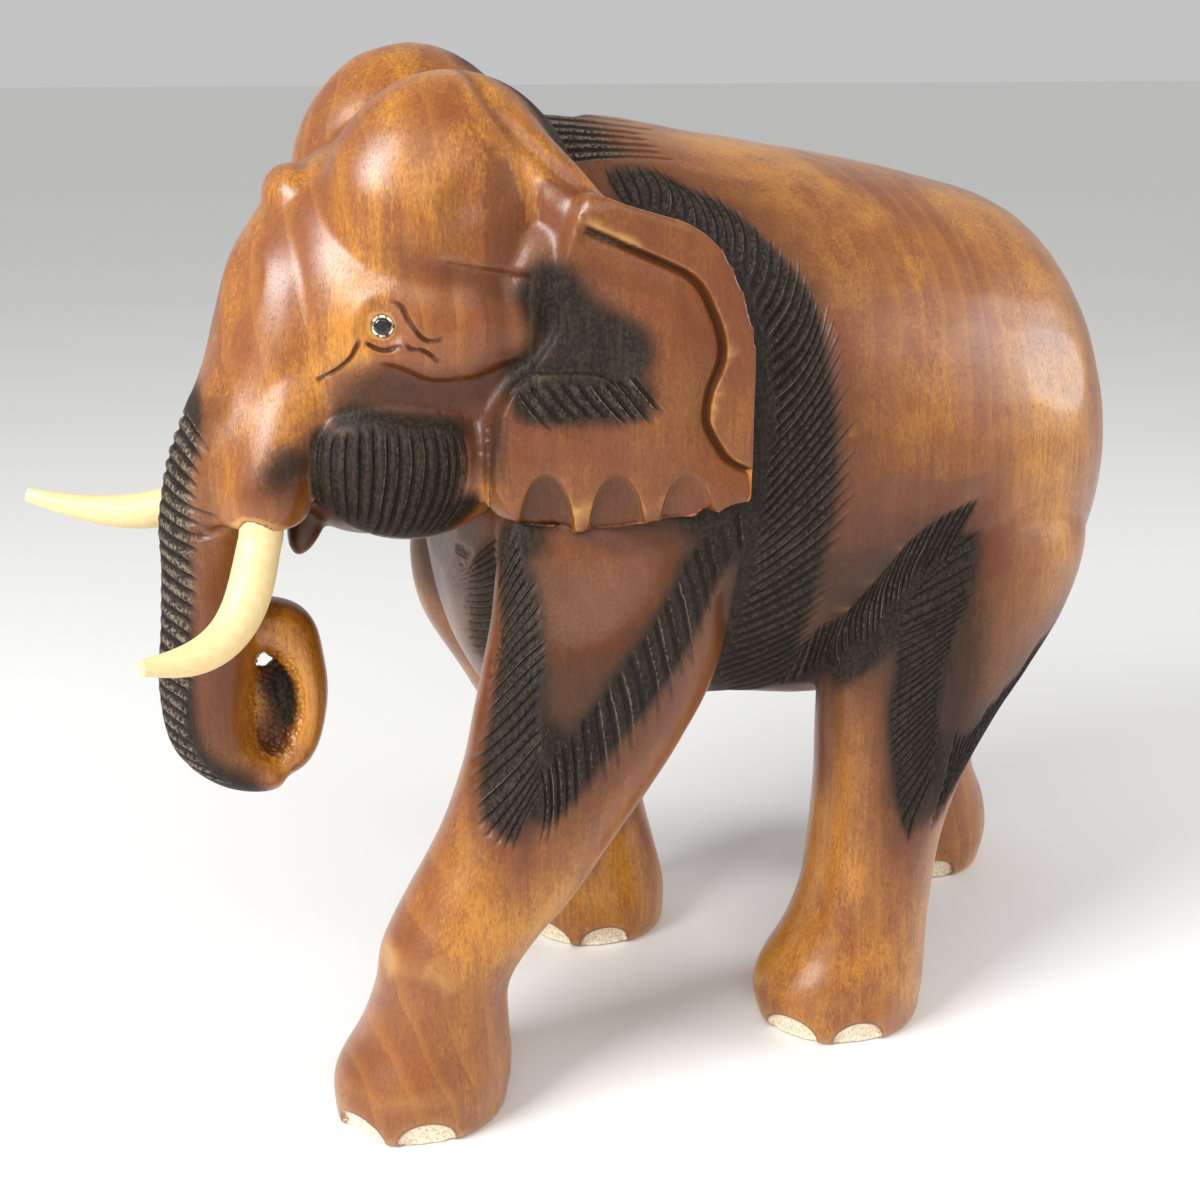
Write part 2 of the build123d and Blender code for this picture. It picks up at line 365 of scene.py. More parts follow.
fine = 1.0
MOST_TRIANGLES = 196000       # in each of the block's two meshes
TORSO = [
    (-60, 0, 178, 90, 20, 18), (-54, 0, 186, 90, 54, 40), (-40, 0, 198, 90, 87, 58),
    (-16, 0, 201, 90, 94, 67), (24, 0, 199, 90, 90.5, 71), (64, 0, 193, 90, 90, 71),
    (99, 0, 190, 90, 86, 69), (128, 0, 188.5, 90, 79, 64), (144, 0, 188, 90, 67, 56),
    (153.5, 0, 187, 90, 51, 45), (158, 0, 185, 90, 27, 25),
]
NECK = [
    (-68, 0, 250, 90, 38, 38), (-30, 0, 252, 90, 43, 44), (4, 0, 248, 90, 43, 48),
    (32, 0, 238, 90, 42, 46),
]
LEG_FRONT_LEFT = [
    (-14, -32, 212, 0, 28, 14), (-17, -44, 184, 0, 37, 19), (-22, -50, 155, 0, 38, 21),
    (-28, -49, 130, 0, 37, 22), (-36, -48, 110, 0, 33, 23), (-47, -47, 90, 0, 29, 23),
    (-60, -46, 70, 0, 27, 23), (-71.5, -46, 55, 0, 23.5, 22), (-77, -46, 42, 0, 20.5, 21.5),
    (-80, -46, 28, 0, 23, 23), (-84, -46, 14, 0, 27.5, 25.5), (-85, -46, 0, 0, 26.5, 24),
]
LEG_FRONT_RIGHT = [
    (-6, 32, 212, 0, 28, 14), (-13, 44, 184, 0, 36, 19), (-18, 49, 155, 0, 38, 22),
    (-17, 49, 130, 0, 36, 23), (-10, 47, 105, 0, 29, 23), (-2, 45, 80, 0, 25, 22),
    (3, 44, 50, 0, 24, 22), (7, 44, 30, 0, 25, 23), (8, 44, 14, 0, 27.5, 25.5),
    (9, 44, 0, 0, 26, 24),
]
LEG_REAR_LEFT = [
    (102, -32, 212, 0, 34, 14), (98, -44, 185, 0, 44, 19), (97, -49, 162, 0, 48, 21),
    (94, -50, 143, 0, 45, 22), (89, -49, 125, 0, 39, 23), (82, -48, 105, 0, 31, 23),
    (77, -47, 85, 0, 24.5, 23), (74, -46, 65, 0, 22, 22), (71.5, -46, 45, 0, 22, 22),
    (68, -46, 30, 0, 24.5, 23.5), (63, -46, 14, 0, 29.5, 26), (63, -46, 0, 0, 28, 24.5),
]
LEG_REAR_RIGHT = [
    (106, 32, 212, 0, 32, 14), (115, 42, 184, 0, 40, 19), (124, 47, 152, 0, 38, 21),
    (134, 47, 118, 0, 31, 22), (142, 46, 85, 0, 25, 22), (146, 44, 60, 0, 22, 22),
    (149, 44, 42, 0, 22, 22), (152, 44, 28, 0, 25, 23), (151, 44, 14, 0, 28, 25.5),
    (150, 44, 0, 0, 26, 24),
]
TAIL = [
    (142, 0, 246, 0, 8, 7), (154, 0, 218, 0, 6, 6), (159, 0, 188, 0, 5, 5), (158, 0, 160, 0, 5, 5),
    (153, 0, 138, 0, 5, 5), (145, 0, 120, 0, 6, 6), (138, 0, 106, 0, 4, 4),
]
# Patches of veiner strokes in side view: a stroke's number, then its root, middle and tip
# (x, z) in mm; the strokes between those named fan evenly from one to the next.
BAND = [
    (0, (-16, 272), (-18, 277), (-18, 282)), (4, (-7, 270), (-4, 276), (-6, 282)),
    (8, (6, 263), (7, 270), (3, 277)), (11, (12, 257), (15, 265), (13, 273)),
    (14, (16, 245), (23, 253), (26, 262)), (17, (17, 234), (27, 243), (33, 254)),
    (20, (17, 224), (30, 233), (37, 246)), (25, (16, 203), (28, 214), (41, 229)),
    (31, (15, 181), (28, 194), (43, 209)), (36, (14, 164), (28, 174), (43, 187)),
    (40, (14, 151), (27, 157), (41, 166)), (43, (13, 140), (28, 145), (41, 154)),
    (46, (15, 129), (28, 134), (41, 144)), (49, (22, 119), (33, 125), (42, 136)),
    (51, (30, 110), (38, 116), (45, 127)),
]
BELLY = [
    (0, (91, 184), (86, 174), (81, 163)), (4, (78, 180), (74, 170), (71, 158)),
    (8, (68, 174), (65, 164), (64, 151)), (12, (60, 164), (58, 154), (58, 141)),
    (15, (54, 155), (53, 146), (54, 136)), (18, (49, 148), (49, 140), (50, 130)),
    (21, (43, 145), (45, 133), (48, 123)), (23, (40, 139), (41, 129), (43, 119)),
]
THIGH = [
    (0, (74, 158), (83, 166), (92, 172)), (2, (69, 152), (79, 157), (90, 162)),
    (4, (66, 144), (77, 149), (89, 155)), (7, (65, 138), (75, 143), (87, 149)),
    (10, (65, 129), (74, 135), (84, 142)), (13, (64, 121), (73, 128), (82, 135)),
    (16, (64, 112), (72, 119), (81, 127)), (20, (65, 102), (72, 110), (80, 118)),
    (23, (66, 93), (73, 102), (80, 111)), (26, (68, 83), (74, 93), (80, 103)),
    (28, (73, 70), (75, 82), (80, 94)),
]
RUMP = [
    (0, (81, 71), (85, 90), (87, 108)), (3, (85, 74), (89, 92), (94, 108)),
    (6, (91, 81), (96, 98), (103, 116)), (9, (96, 88), (103, 104), (113, 124)),
    (13, (105, 93), (113, 112), (123, 134)), (17, (115, 96), (125, 115), (137, 139)),
]
SHOULDER = [
    (0, (-58, 167), (-56, 174), (-52, 182)), (3, (-59, 158), (-56, 166), (-51, 173)),
    (6, (-60, 148), (-57, 156), (-50, 165)), (9, (-63, 137), (-57, 148), (-50, 156)),
    (12, (-65, 125), (-58, 136), (-50, 146)), (14, (-68, 114), (-60, 125), (-51, 137)),
    (16, (-69, 105), (-61, 116), (-51, 128)), (18, (-69, 97), (-61, 107), (-52, 120)),
    (20, (-65, 93), (-59, 103), (-52, 115)), (22, (-61, 90), (-57, 101), (-51, 111)),
]
FORELEG = [
    (0, (8, 187), (10, 181), (11, 175)), (1, (3, 183), (6, 176), (8, 169)),
    (2, (-1, 180), (2, 171), (5, 161)), (4, (-7, 173), (-4, 163), (-2, 150)),
    (6, (-14, 164), (-12, 153), (-8, 139)), (8, (-22, 154), (-19, 143), (-16, 130)),
    (10, (-30, 145), (-27, 134), (-25, 121)), (12, (-36, 136), (-35, 125), (-33, 112)),
    (14, (-43, 127), (-42, 115), (-42, 103)), (16, (-48, 121), (-47, 110), (-48, 98)),
    (18, (-52, 117), (-51, 106), (-53, 94)),
]
SPINE = [
    (0, (-30, 283), (-14, 284), (4, 283)), (3, (-36, 291), (-18, 290), (2, 288)),
    (7, (-40, 299), (-20, 297), (2, 294)),
]
PATCHES = {
    "band": BAND, "belly": BELLY, "thigh": THIGH, "rump": RUMP,
    "shoulder": SHOULDER, "foreleg": FORELEG, "spine": SPINE,
}
SOOT_EDGES = {   # share along the strokes where the soot starts and where it has faded out
    "band": (-0.6, -0.4, 0.70, 1.05), "belly": (-0.10, 0.22, 1.0, 1.4), "thigh": (-0.1, 0.15, 0.80, 1.30),
    "rump": (0.05, 0.35, 0.8, 1.15), "shoulder": (0.0, 0.3, 0.75, 1.4), "foreleg": (-0.35, 0.3, 0.70, 1.0),
    "spine": (-0.1, 0.1, 0.3, 1.0),
}
STROKE_DEPTH = 0.8


# The ears lie in a shallow hollow of the neck and shoulder, so their outline comes first.
EAR_FOOT = (-61, 53)          # x and y of the front end of the ear's face
EAR_SLANT = radians(18.3)     # the rear edge stands further out than the front
EAR_THICK = 11
# Along the face from its front end, then up: top, rear edge, hem, front edge.
EAR = [
    (29, 276), (39, 274), (49, 271), (56, 269), (62, 265), (66, 260), (69, 254), (72, 246),
    (74, 238), (75, 229), (75, 215), (75, 200), (75, 193), (74, 191),
    (69, 190), (65, 188), (62, 190), (58, 187), (52, 187), (44, 185), (36, 184), (29, 184),
    (28, 183), (24, 183), (23, 185), (16, 185), (9, 186), (5, 190),
    (2, 199), (3, 209), (5, 218), (8, 225), (15, 233), (20, 242), (22, 256),
]


def ear_view(co):
    """Places as seen square on to the ear: along its face, up, and how far out from its face."""
    off_x, off_y = co[:, 0] - EAR_FOOT[0], np.abs(co[:, 1]) - EAR_FOOT[1]
    along = off_x * cos(EAR_SLANT) + off_y * sin(EAR_SLANT)
    out = -off_x * sin(EAR_SLANT) + off_y * cos(EAR_SLANT)
    return np.stack([along, co[:, 2]], 1), out


def outside_of(points, outline):
    """Distance in mm outside a closed outline, negative inside it."""
    turns = np.linspace(0, len(outline), 12 * len(outline), endpoint=False)
    loop = curve_through(outline[-1:] + outline + outline[:2], turns + 1)
    gap = np.full(len(points), 1e9)
    inside = np.zeros(len(points), bool)
    for a, b in zip(loop, np.roll(loop, -1, axis=0)):
        gap = np.minimum(gap, np.hypot(points[:, 0] - a[0], points[:, 1] - a[1]))
        crosses = (a[1] > points[:, 1]) != (b[1] > points[:, 1])
        if a[1] != b[1]:
            edge = a[0] + (b[0] - a[0]) * (points[:, 1] - a[1]) / (b[1] - a[1])
            inside ^= crosses & (points[:, 0] < edge)
    return np.where(inside, -gap, gap)


def middle_at(heights, leg):
    """How far back a leg's middle lies at each height."""
    return np.interp(heights, [girth[2] for girth in leg][::-1], [girth[0] for girth in leg][::-1])


def like_left(co, left, right, top=178, bottom=140):
    """Side-view places, with a right leg's shifted onto the left leg that its strokes copy."""
    shift = middle_at(co[:, 2], left) - middle_at(co[:, 2], right)
    share = (1 - ease(co[:, 2], bottom, top)) * (co[:, 1] > 0)
    return np.stack([co[:, 0] + shift * share, co[:, 2]], 1)


def body_strokes(co, way):
    """Every patch of the body: stroke number, share along it and 1 where the patch shows."""
    sideways = way[:, 1] * np.sign(co[:, 1])
    maps = {}
    for name, strokes in PATCHES.items():
        if name in ("shoulder", "foreleg"):
            flat = like_left(co, LEG_FRONT_LEFT, LEG_FRONT_RIGHT)
        elif name in ("thigh", "rump", "belly"):
            flat = like_left(co, LEG_REAR_LEFT, LEG_REAR_RIGHT)
        else:
            flat = co[:, (0, 2)]
        maps[name] = stroke_map(strokes, flat)
        maps[name][:, 2] *= ease(sideways, -0.35, 0.0)
    right_side = co[:, 1] > 0
    maps["shoulder"][:, 2] *= np.where(right_side, ease(sideways, 0.5, 0.75), ease(sideways, 0.05, 0.3))
    return maps


body = fuse("carving_body", [
    limb("torso", TORSO), limb("neck", NECK),
    limb("leg_front_left", LEG_FRONT_LEFT), limb("leg_front_right", LEG_FRONT_RIGHT),
    limb("leg_rear_left", LEG_REAR_LEFT), limb("leg_rear_right", LEG_REAR_RIGHT),
    limb("tail", TAIL),
], grain=1.25 * fine, soften=12)
co, way = places(body), facing(body)
# Toenails: flat arched facets round the front of each foot, left pale.
TOES = (102, 154, 206, 258)      # degrees round the foot; 180 is straight ahead
NAIL_WIDE, NAIL_HIGH, NAIL_DEEP = 10.2, 8.8, 2.6
FEET = [leg[-1] for leg in (LEG_FRONT_LEFT, LEG_FRONT_RIGHT, LEG_REAR_LEFT, LEG_REAR_RIGHT)]


def nail_field(co):
    """How far inside a nail's arch each place is: 1 at its foot, 0 on its edge, below 0 outside."""
    field = np.full(len(co), -1.0)
    for x, y, _, _, radius, _ in FEET:
        turn = np.degrees(np.arctan2(co[:, 1] - y, co[:, 0] - x)) % 360
        close = np.hypot(co[:, 0] - x, co[:, 1] - y) < radius + 12
        for toe in TOES:
            sideways = np.radians(turn - toe) * radius
            arch = 1 - np.hypot(sideways / NAIL_WIDE, co[:, 2] / NAIL_HIGH)
            field = np.where(close & (np.abs(turn - toe) < 60), np.maximum(field, arch), field)
    return field


refine(body, np.flatnonzero(co[:, 2] < 14))
co, way = places(body), facing(body)
nails = nail_field(co)
shaving = NAIL_DEEP * ease(nails, 0, 0.15) * (1 - 0.55 * np.clip(co[:, 2] / NAIL_HIGH, 0, 1))
co -= way * (1, 1, 0) * (shaving * (co[:, 2] < NAIL_HIGH))[:, None]
move(body, co)
co, way = places(body), facing(body)
# The shoulder and neck are cut back so that the ears' hems stand clear of them.
EAR_CLEARANCE = 5.5           # mm from the ears' outer faces in to the skin, at the ears' edges
face, out = ear_view(co)
near = np.flatnonzero((face[:, 0] > -25) & (face[:, 0] < 95) & (face[:, 1] > 140) & (out > -14)
                      & (np.abs(co[:, 1]) > 35))
away = outside_of(face[near], EAR)
allowed = np.where(away < 0, -EAR_CLEARANCE + 0.6 * np.maximum(away, -6),
                   -EAR_CLEARANCE + 0.012 * away ** 2 + 0.10 * away)
# The cut fades in and is spread sideways, so that it leaves no step.
excess = np.maximum(out[near] - allowed + 1, 0)
excess = excess ** 2 / (excess + 3)
pushed = np.zeros(len(co))
pushed[near] = excess
excess = spread(body, pushed, 24)[near]
co[near, 0] += excess * sin(EAR_SLANT)
co[near, 1] -= excess * cos(EAR_SLANT) * np.sign(co[near, 1])
move(body, co)
way = facing(body)
# The neck's front end stays well inside the head.
tucked = 34 + 1.1 * np.maximum(co[:, 0] + 40, 0)
buried = (co[:, 0] < -24) & (co[:, 2] > 212) & (np.abs(co[:, 1]) > tucked)
co[buried, 1] = (tucked * np.sign(co[:, 1]))[buried]
# Flat facets left by the knife on the rump and legs, and the unevenness of handwork.
BODY_FACETS = [     # middle, facing, reach and depth in mm
    ((150, -30, 215), (0.85, -0.45, 0.25), 34, 1.0), ((140, -52, 180), (0.6, -0.8, 0.05), 34, 1.0),
    ((120, -66, 205), (0.25, -0.92, 0.3), 34, 0.9), ((40, -62, 235), (0.0, -0.8, 0.6), 30, 0.7),
    ((-86, -66, 60), (-0.4, -0.9, 0.15), 24, 0.5), ((-98, -40, 60), (-0.95, -0.1, 0.25), 24, 0.5),
    ((66, -69, 30), (-0.1, -1.0, 0.1), 22, 0.9), ((40, -50, 22), (-0.9, -0.3, 0.3), 20, 1.0),
]
for facet in BODY_FACETS:
    pare(co, *facet)
handwork(co, way, 0.07)
move(body, co)
way = facing(body)
# Creases where each leg runs into the flank.
dent(co, way, [(8, -62, 190), (12, -66, 172), (10, -62, 158), (2, -55, 140)], 5, 1.5)
dent(co, way, [(58, -60, 128), (66, -66, 150), (82, -68, 168), (92, -70, 182)], 5, 1.2)
dent(co, way, [(60, -58, 110), (62, -60, 128)], 4, 1.0)
move(body, co)
way = facing(body)
maps = body_strokes(co, way)
covered = np.zeros(len(co), bool)
for place in maps.values():
    covered |= (place[:, 2] > 0.2)
refine(body, np.flatnonzero(covered))
co, way = places(body), facing(body)
maps = body_strokes(co, way)
depth = np.zeros(len(co))
for name, place in maps.items():
    depth = np.maximum(depth, STROKE_DEPTH * stroke_cut(place, PATCHES[name][-1][0]))
co -= way * depth[:, None]
move(body, co)
thin_out(body, MOST_TRIANGLES)
bpy.ops.object.select_all(action="DESELECT")
co, way = places(body), facing(body)
maps = body_strokes(co, way)
soot_and_shadow = np.zeros(len(co))
for name, place in maps.items():
    last = PATCHES[name][-1][0]
    start, full, fade, bare = SOOT_EDGES[name]
    cover = ease(place[:, 1], start, full) * (1 - ease(place[:, 1], fade, bare))
    cover *= ease(place[:, 0], -1.5, 0.5) * (1 - ease(place[:, 0], last - 0.5, last + 1.5)) * place[:, 2]
    soot_and_shadow = np.maximum(soot_and_shadow, cover)
    store(body, name, place)
BODY_SOOT = [     # strength, radius and softness in mm, and the path of the spray
    (1, 5, 3, [(86, -69, 168), (76, -68, 158), (68, -66, 148), (60, -62, 137), (52, -56, 127)]),
    (1, 7, 5, [(24, -40, 120), (36, -42, 118), (48, -42, 118)]),
    (1, 8, 5, [(-50, -67, 122), (-52, -67, 108)]),
    (0.4, 8, 8, [(38, -66, 168), (46, -65, 156), (54, -61, 148)]),
    (0.55, 9, 9, [(90, -72, 146), (88, -72, 122), (87, -71, 104), (82, -69, 92)]),
    (1, 6, 4, [(-4, -67, 186), (4, -68, 188), (14, -69, 190)]),
    (0.9, 6, 5, [(79, -70, 104), (84, -70, 96), (84, -68, 86)]),
    (1, 14, 6, [(-12, -55, 262), (-6, -58, 240), (6, -64, 215), (8, -66, 185)]),
    (1, 7, 5, [(-58, -46, 178), (-50, -55, 182)]),
    (0.8, 16, 10, [(-62, -30, 205), (-66, -10, 200)]),
    (0.8, 7, 8, [(86, -71, 104), (82, -69, 92), (78, -68, 82)]),
]
BODY_SHADE = [
    # painted shade under the ear's hem
    (0.95, 9, 8, [(-45, -62, 184), (-25, -66, 182), (-5, -68, 184)]),
    # a darker red-brown stain on the front leg's top, under the ear
    (0.5, 13, 9, [(-44, -58, 190), (-20, -62, 188), (-32, -64, 168), (-38, -67, 152), (-44, -69, 138)]),
    # painted shade on the chest under the head
    (0.75, 26, 14, [(-56, -30, 160), (-58, -14, 170), (-56, -4, 185)]),
    # painted shade on the belly's underside
    (0.35, 30, 18, [(40, -20, 105), (70, -20, 103), (95, -20, 110)]),
]
soot_and_shadow = spray_lines(soot_and_shadow, co, BODY_SOOT)
shade = spray_lines(np.zeros(len(co)), co, BODY_SHADE)
haze = spread(body, soot_and_shadow, 200)
soot_and_shadow = 0.45 * soot_and_shadow + 0.55 * spread(body, soot_and_shadow, 16)
shade = np.maximum(shade, np.minimum(1.25 * haze, 1))
store(body, "soot_and_shadow", soot_and_shadow)
store(body, "shade", shade)
store(body, "nail", nail_field(co))
# Under the ears the painted shade in the hollows and the painted highlights on the edges are kept faint.
under_ear = spray(co, [(-52, -64, 150), (-38, -68, 150), (-22, -70, 150)], 12, 8)
store(body, "hollow", hollowness(body, co, way) * (1 - 0.9 * under_ear))


# The block is stained honey brown, airbrushed and singed dark over the veiner's strokes, rubbed
# back on the ridges and closed with a thin gloss varnish. Painted shade darkens its hollows, cuts
# and the places under ledges and overhangs, and painted highlights and sheen lighten its ridges,
# cut edges and grey patches. Toenails are left bare.
class Tint:
    """A value in a material. Arithmetic on it adds the nodes that work it out."""

    def __init__(self, tree, socket=None):
        self.tree = tree
        self.socket = socket

    def node(self, kind, settings=None, out=0, **inputs):
        """Adds a node: its settings, which output is wanted, and its inputs by place or name."""
        node = self.tree.nodes.new(kind)
        for key, value in (settings or {}).items():
            if key == "stops":
                for stop, (where, colour) in zip(node.color_ramp.elements, value):
                    stop.position = where
                    stop.color = colour
            else:
                setattr(node, key, value)
        for key, value in inputs.items():
            socket = node.inputs[int(key[1:])] if key[1:].isdigit() else node.inputs[key]
            if isinstance(value, Tint):
                self.tree.links.new(value.socket, socket)
            else:
                socket.default_value = value
        return Tint(self.tree, node.outputs[out])

    def maths(self, operation, first, second=0.0, third=0.0):
        return self.node("ShaderNodeMath", {"operation": operation}, _0=first, _1=second, _2=third)

    def __add__(self, other):
        return self.maths("ADD", self, other)

    __radd__ = __add__

    def __mul__(self, other):
        return self.maths("MULTIPLY", self, other)

    __rmul__ = __mul__

    def __sub__(self, other):
        return self.maths("SUBTRACT", self, other)

    def __rsub__(self, other):
        return self.maths("SUBTRACT", other, self)

    def __truediv__(self, other):
        return self.maths("DIVIDE", self, other)

    def rise(self, low, high):
        """0 below low, 1 above high, smooth between."""
        return self.node("ShaderNodeMapRange", {"interpolation_type": "SMOOTHSTEP"},
                         _0=self, _1=low, _2=high, _3=0.0, _4=1.0)

    def size(self):
        return self.maths("ABSOLUTE", self)

    def most(self, other):
        return self.maths("MAXIMUM", self, other)

    def blend(self, under, over, cover):
        """One colour laid over another by a cover of 0 to 1."""
        return self.node("ShaderNodeMix", {"data_type": "RGBA"}, 2, _0=cover, _6=under, _7=over)

    def painted_on(self, name, out=2):
        """A value that was stored on the piece's vertices."""
        return self.node("ShaderNodeAttribute", {"attribute_name": name}, out)

    def parts(self):
        """The three numbers of a vector."""
        return [self.node("ShaderNodeSeparateXYZ", out=i, Vector=self) for i in range(3)]


def colour(red, green, blue):
    """A colour as a painter reads it, 0 to 255, in the linear light that the shader needs."""
    linear = [((c / 255 + 0.055) / 1.055) ** 2.4 if c > 10 else c / 3294.6 for c in (red, green, blue)]
    return (*linear, 1)


def grain_noise(tint, where, scale, detail=2.0, rough=0.5):
    """Soft noise in a space stretched by the given scale per mm."""
    squeezed = tint.node("ShaderNodeVectorMath", {"operation": "MULTIPLY"}, _0=where, _1=scale)
    return tint.node("ShaderNodeTexNoise", _2=1.0, _3=detail, _4=rough, Vector=squeezed)


def new_finish(name):
    """A new material, the maths that goes with it, and where on the piece a point is in mm."""
    finish = bpy.data.materials.new(name)
    finish.use_nodes = True
    tint = Tint(finish.node_tree)
    metres = tint.node("ShaderNodeTexCoord", out=3)
    where = tint.node("ShaderNodeVectorMath", {"operation": "SCALE"}, _0=metres, Scale=1 / MM)
    return finish, tint, where


def finish_piece(piece, finish, sockets):
    """Sets the main shader's sockets, by name, and puts the material on the piece."""
    shader = finish.node_tree.nodes["Principled BSDF"]
    for name, value in sockets.items():
        if isinstance(value, Tint):
            finish.node_tree.links.new(value.socket, shader.inputs[name])
        else:
            shader.inputs[name].default_value = value
    piece.data.materials.clear()
    piece.data.materials.append(finish)


HONEY, TAN, RUSSET = colour(200, 134, 32), colour(158, 94, 15), colour(132, 68, 12)
# The last colour on the next line darkens the hollows: gathered stain and painted shade.
BURNT, UMBER, GRIME_AND_SHADE = colour(100, 44, 8), colour(56, 30, 14), colour(52, 30, 16)
# The two soot colours on the next line also paint the black shadow inside the trunk's curl.
SOOT_AND_SHADOW_BLACK, SOOT_AND_SHADOW_GREY, WORN_AND_SHEEN = colour(20, 15, 11), colour(50, 41, 32), colour(150, 134, 112)
# The first colour on the next line lightens the sharp edges: rubbed stain and painted highlight.
RUBBED_AND_HIGHLIGHT, BARE, CHALK = colour(222, 172, 92), colour(250, 236, 212), colour(188, 160, 122)
RING_PITCH = 9.0                      # mm between growth rings
RING_HEART = (4.0, -48.0, 269.0)      # where the rings' middle comes out on the back
HEART_LEAN = (0.10, 0.05)             # mm that it leans forward and to the left per mm of height
# How far the soot on each patch has been rubbed back to grey, with painted sheen on top.
WEAR_AND_SHEEN = {"band": 0.45, "belly": 0.15, "thigh": 0.2, "rump": 0.2, "shoulder": 0.3, "foreleg": 0.2,
        "spine": 0.9, "cheek": 0.05, "ear": 0.45, "trunk": 0.95}


def stain_and_shade(piece, name, patches):
    """Stains, airbrushes and varnishes one of the block's meshes, and paints shade and highlights on it.
    """
    wood, tint, where = new_finish(name)
    off = tint.node("ShaderNodeVectorMath", {"operation": "SUBTRACT"}, _0=where, _1=RING_HEART)
    # Growth rings round a nearly upright heart, wavering down the height of the block.
    x, y, z = off.parts()
    x = x + z * HEART_LEAN[0]
    y = y + z * HEART_LEAN[1]
    waver = grain_noise(tint, where, (0.016, 0.016, 0.006), 3.0)
    ring = (tint.maths("SQRT", x * x + y * y) + (waver - 0.5) * 34.0) / RING_PITCH
    phase = tint.maths("FRACT", ring)
    late = phase.rise(0.55, 0.96) - phase.rise(0.96, 1.0)
    broad = tint.maths("SINE", ring * 2.4) * 0.5 + 0.5
    mottle = grain_noise(tint, where, (0.03, 0.03, 0.02), 3.0, 0.6)
    fibre = grain_noise(tint, where, (0.8, 0.8, 0.05), 3.0, 0.6)
    pore = grain_noise(tint, where, (2.8, 2.8, 0.45), 1.0, 0.4)
    cloud = grain_noise(tint, where, (0.11, 0.11, 0.08), 2.0, 0.5)
    fleck = grain_noise(tint, where, (1.5, 1.5, 0.6), 2.0, 0.6)
    tan_share = mottle + (broad - 0.5) * 0.12 + (cloud - 0.5) * 0.3 + (fleck - 0.5) * 0.35
    honey_share = mottle + (fibre - 0.5) * 0.25 + (fleck - 0.5) * 0.4
    tone = tint.node("ShaderNodeValToRGB", {"stops": ((0.0, RUSSET), (1.0, TAN))},
                     _0=tan_share.rise(0.30, 0.66))
    tone = tint.blend(tone, HONEY, honey_share.rise(0.46, 0.74) * 0.75)
    tone = tint.blend(tone, HONEY, late * 0.18)
    tone = tint.blend(tone, UMBER, (0.52 - fibre).rise(0.0, 0.16) * 0.16)
    pores = pore.rise(0.60, 0.68)
    tone = tint.blend(tone, UMBER, pores * 0.20)
    # Airbrushed brown stain and painted shade, both read from the shade cover, then soot and the
    # painted black shadow in the trunk's curl, all with a speckled edge.
    speckle = grain_noise(tint, where, (1.1, 1.1, 0.8), 2.0, 0.7)
    shade, soot_and_shadow = tint.painted_on("shade"), tint.painted_on("soot_and_shadow")
    hollow, nail = tint.painted_on("hollow"), tint.painted_on("nail")
    shade = (shade + (speckle - 0.5) * 0.25 + (cloud - 0.5) * 0.2) * shade.rise(0.0, 0.2)
    tone = tint.blend(tone, BURNT, shade.rise(0.0, 0.5) * 0.75)
    tone = tint.blend(tone, UMBER, shade.rise(0.25, 1.05) * 0.92)
    soot_and_shadow = (soot_and_shadow + (speckle - 0.5) * 0.45).rise(0.15, 0.85) * soot_and_shadow.rise(0.0, 0.12)
    # Each veiner's cut is black, one edge of it is rubbed grey and carries a painted highlight, and
    # dust and painted sheen lie between the cuts.
    cut, edge, dust_and_sheen = None, None, None
    for patch, strokes in patches.items():
        last = strokes[-1][0]
        number, share, shows = tint.painted_on(patch, 1).parts()
        number = number + (speckle - 0.5) * 0.22 + (cloud - 0.5) * 0.3
        nearest = tint.maths("ROUND", number)
        luck = tint.maths("SINE", nearest * 2.4 + tint.maths("SINE", nearest * 1.7) * 3.0) * 0.5 + 0.5
        away = number - nearest
        there = (share - luck * 0.08).rise(-0.05, 0.1) * (1.0 - (share - luck * 0.14).rise(0.86, 1.0))
        there = there * shows.rise(0.4, 0.9) * nearest.rise(-0.6, -0.4)
        there = there * (1.0 - nearest.rise(last + 0.4, last + 0.6))
        this_cut = (1.0 - away.size().rise(0.04, 0.22)) * there
        this_edge = (1.0 - (away + 0.27).size().rise(0.01, 0.06)) * there
        this_edge = this_edge * (speckle + (luck - 0.5) * 0.3).rise(0.42, 0.62)
        this_edge = this_edge * (0.35 + 0.65 * WEAR_AND_SHEEN[patch])
        this_dust_and_sheen = there * away.size().rise(0.18, 0.45) * speckle.rise(0.40, 0.62)
        this_dust_and_sheen = this_dust_and_sheen * (0.8 * WEAR_AND_SHEEN[patch] ** 3)
        dust_and_sheen = this_dust_and_sheen if dust_and_sheen is None else dust_and_sheen.most(this_dust_and_sheen)
        cut = this_cut if cut is None else cut.most(this_cut)
        edge = this_edge if edge is None else edge.most(this_edge)
    # The soot's colour, which also paints the black shadow inside the trunk's curl.
    ash_and_shadow = tint.blend(SOOT_AND_SHADOW_BLACK, SOOT_AND_SHADOW_GREY, (speckle * 0.6 + fibre * 0.4).rise(0.40, 0.62))
    ash_and_shadow = tint.blend(ash_and_shadow, SOOT_AND_SHADOW_BLACK, cut * 0.85)
    tone = tint.blend(tone, UMBER, cut * 0.75)
    tone = tint.blend(tone, ash_and_shadow, soot_and_shadow * 0.96)
    # Grey of the rubbed edges and dust, with painted highlights and sheen.
    tone = tint.blend(tone, WORN_AND_SHEEN, (edge * 0.8).most(dust_and_sheen) * (soot_and_shadow * 0.75 + 0.25))
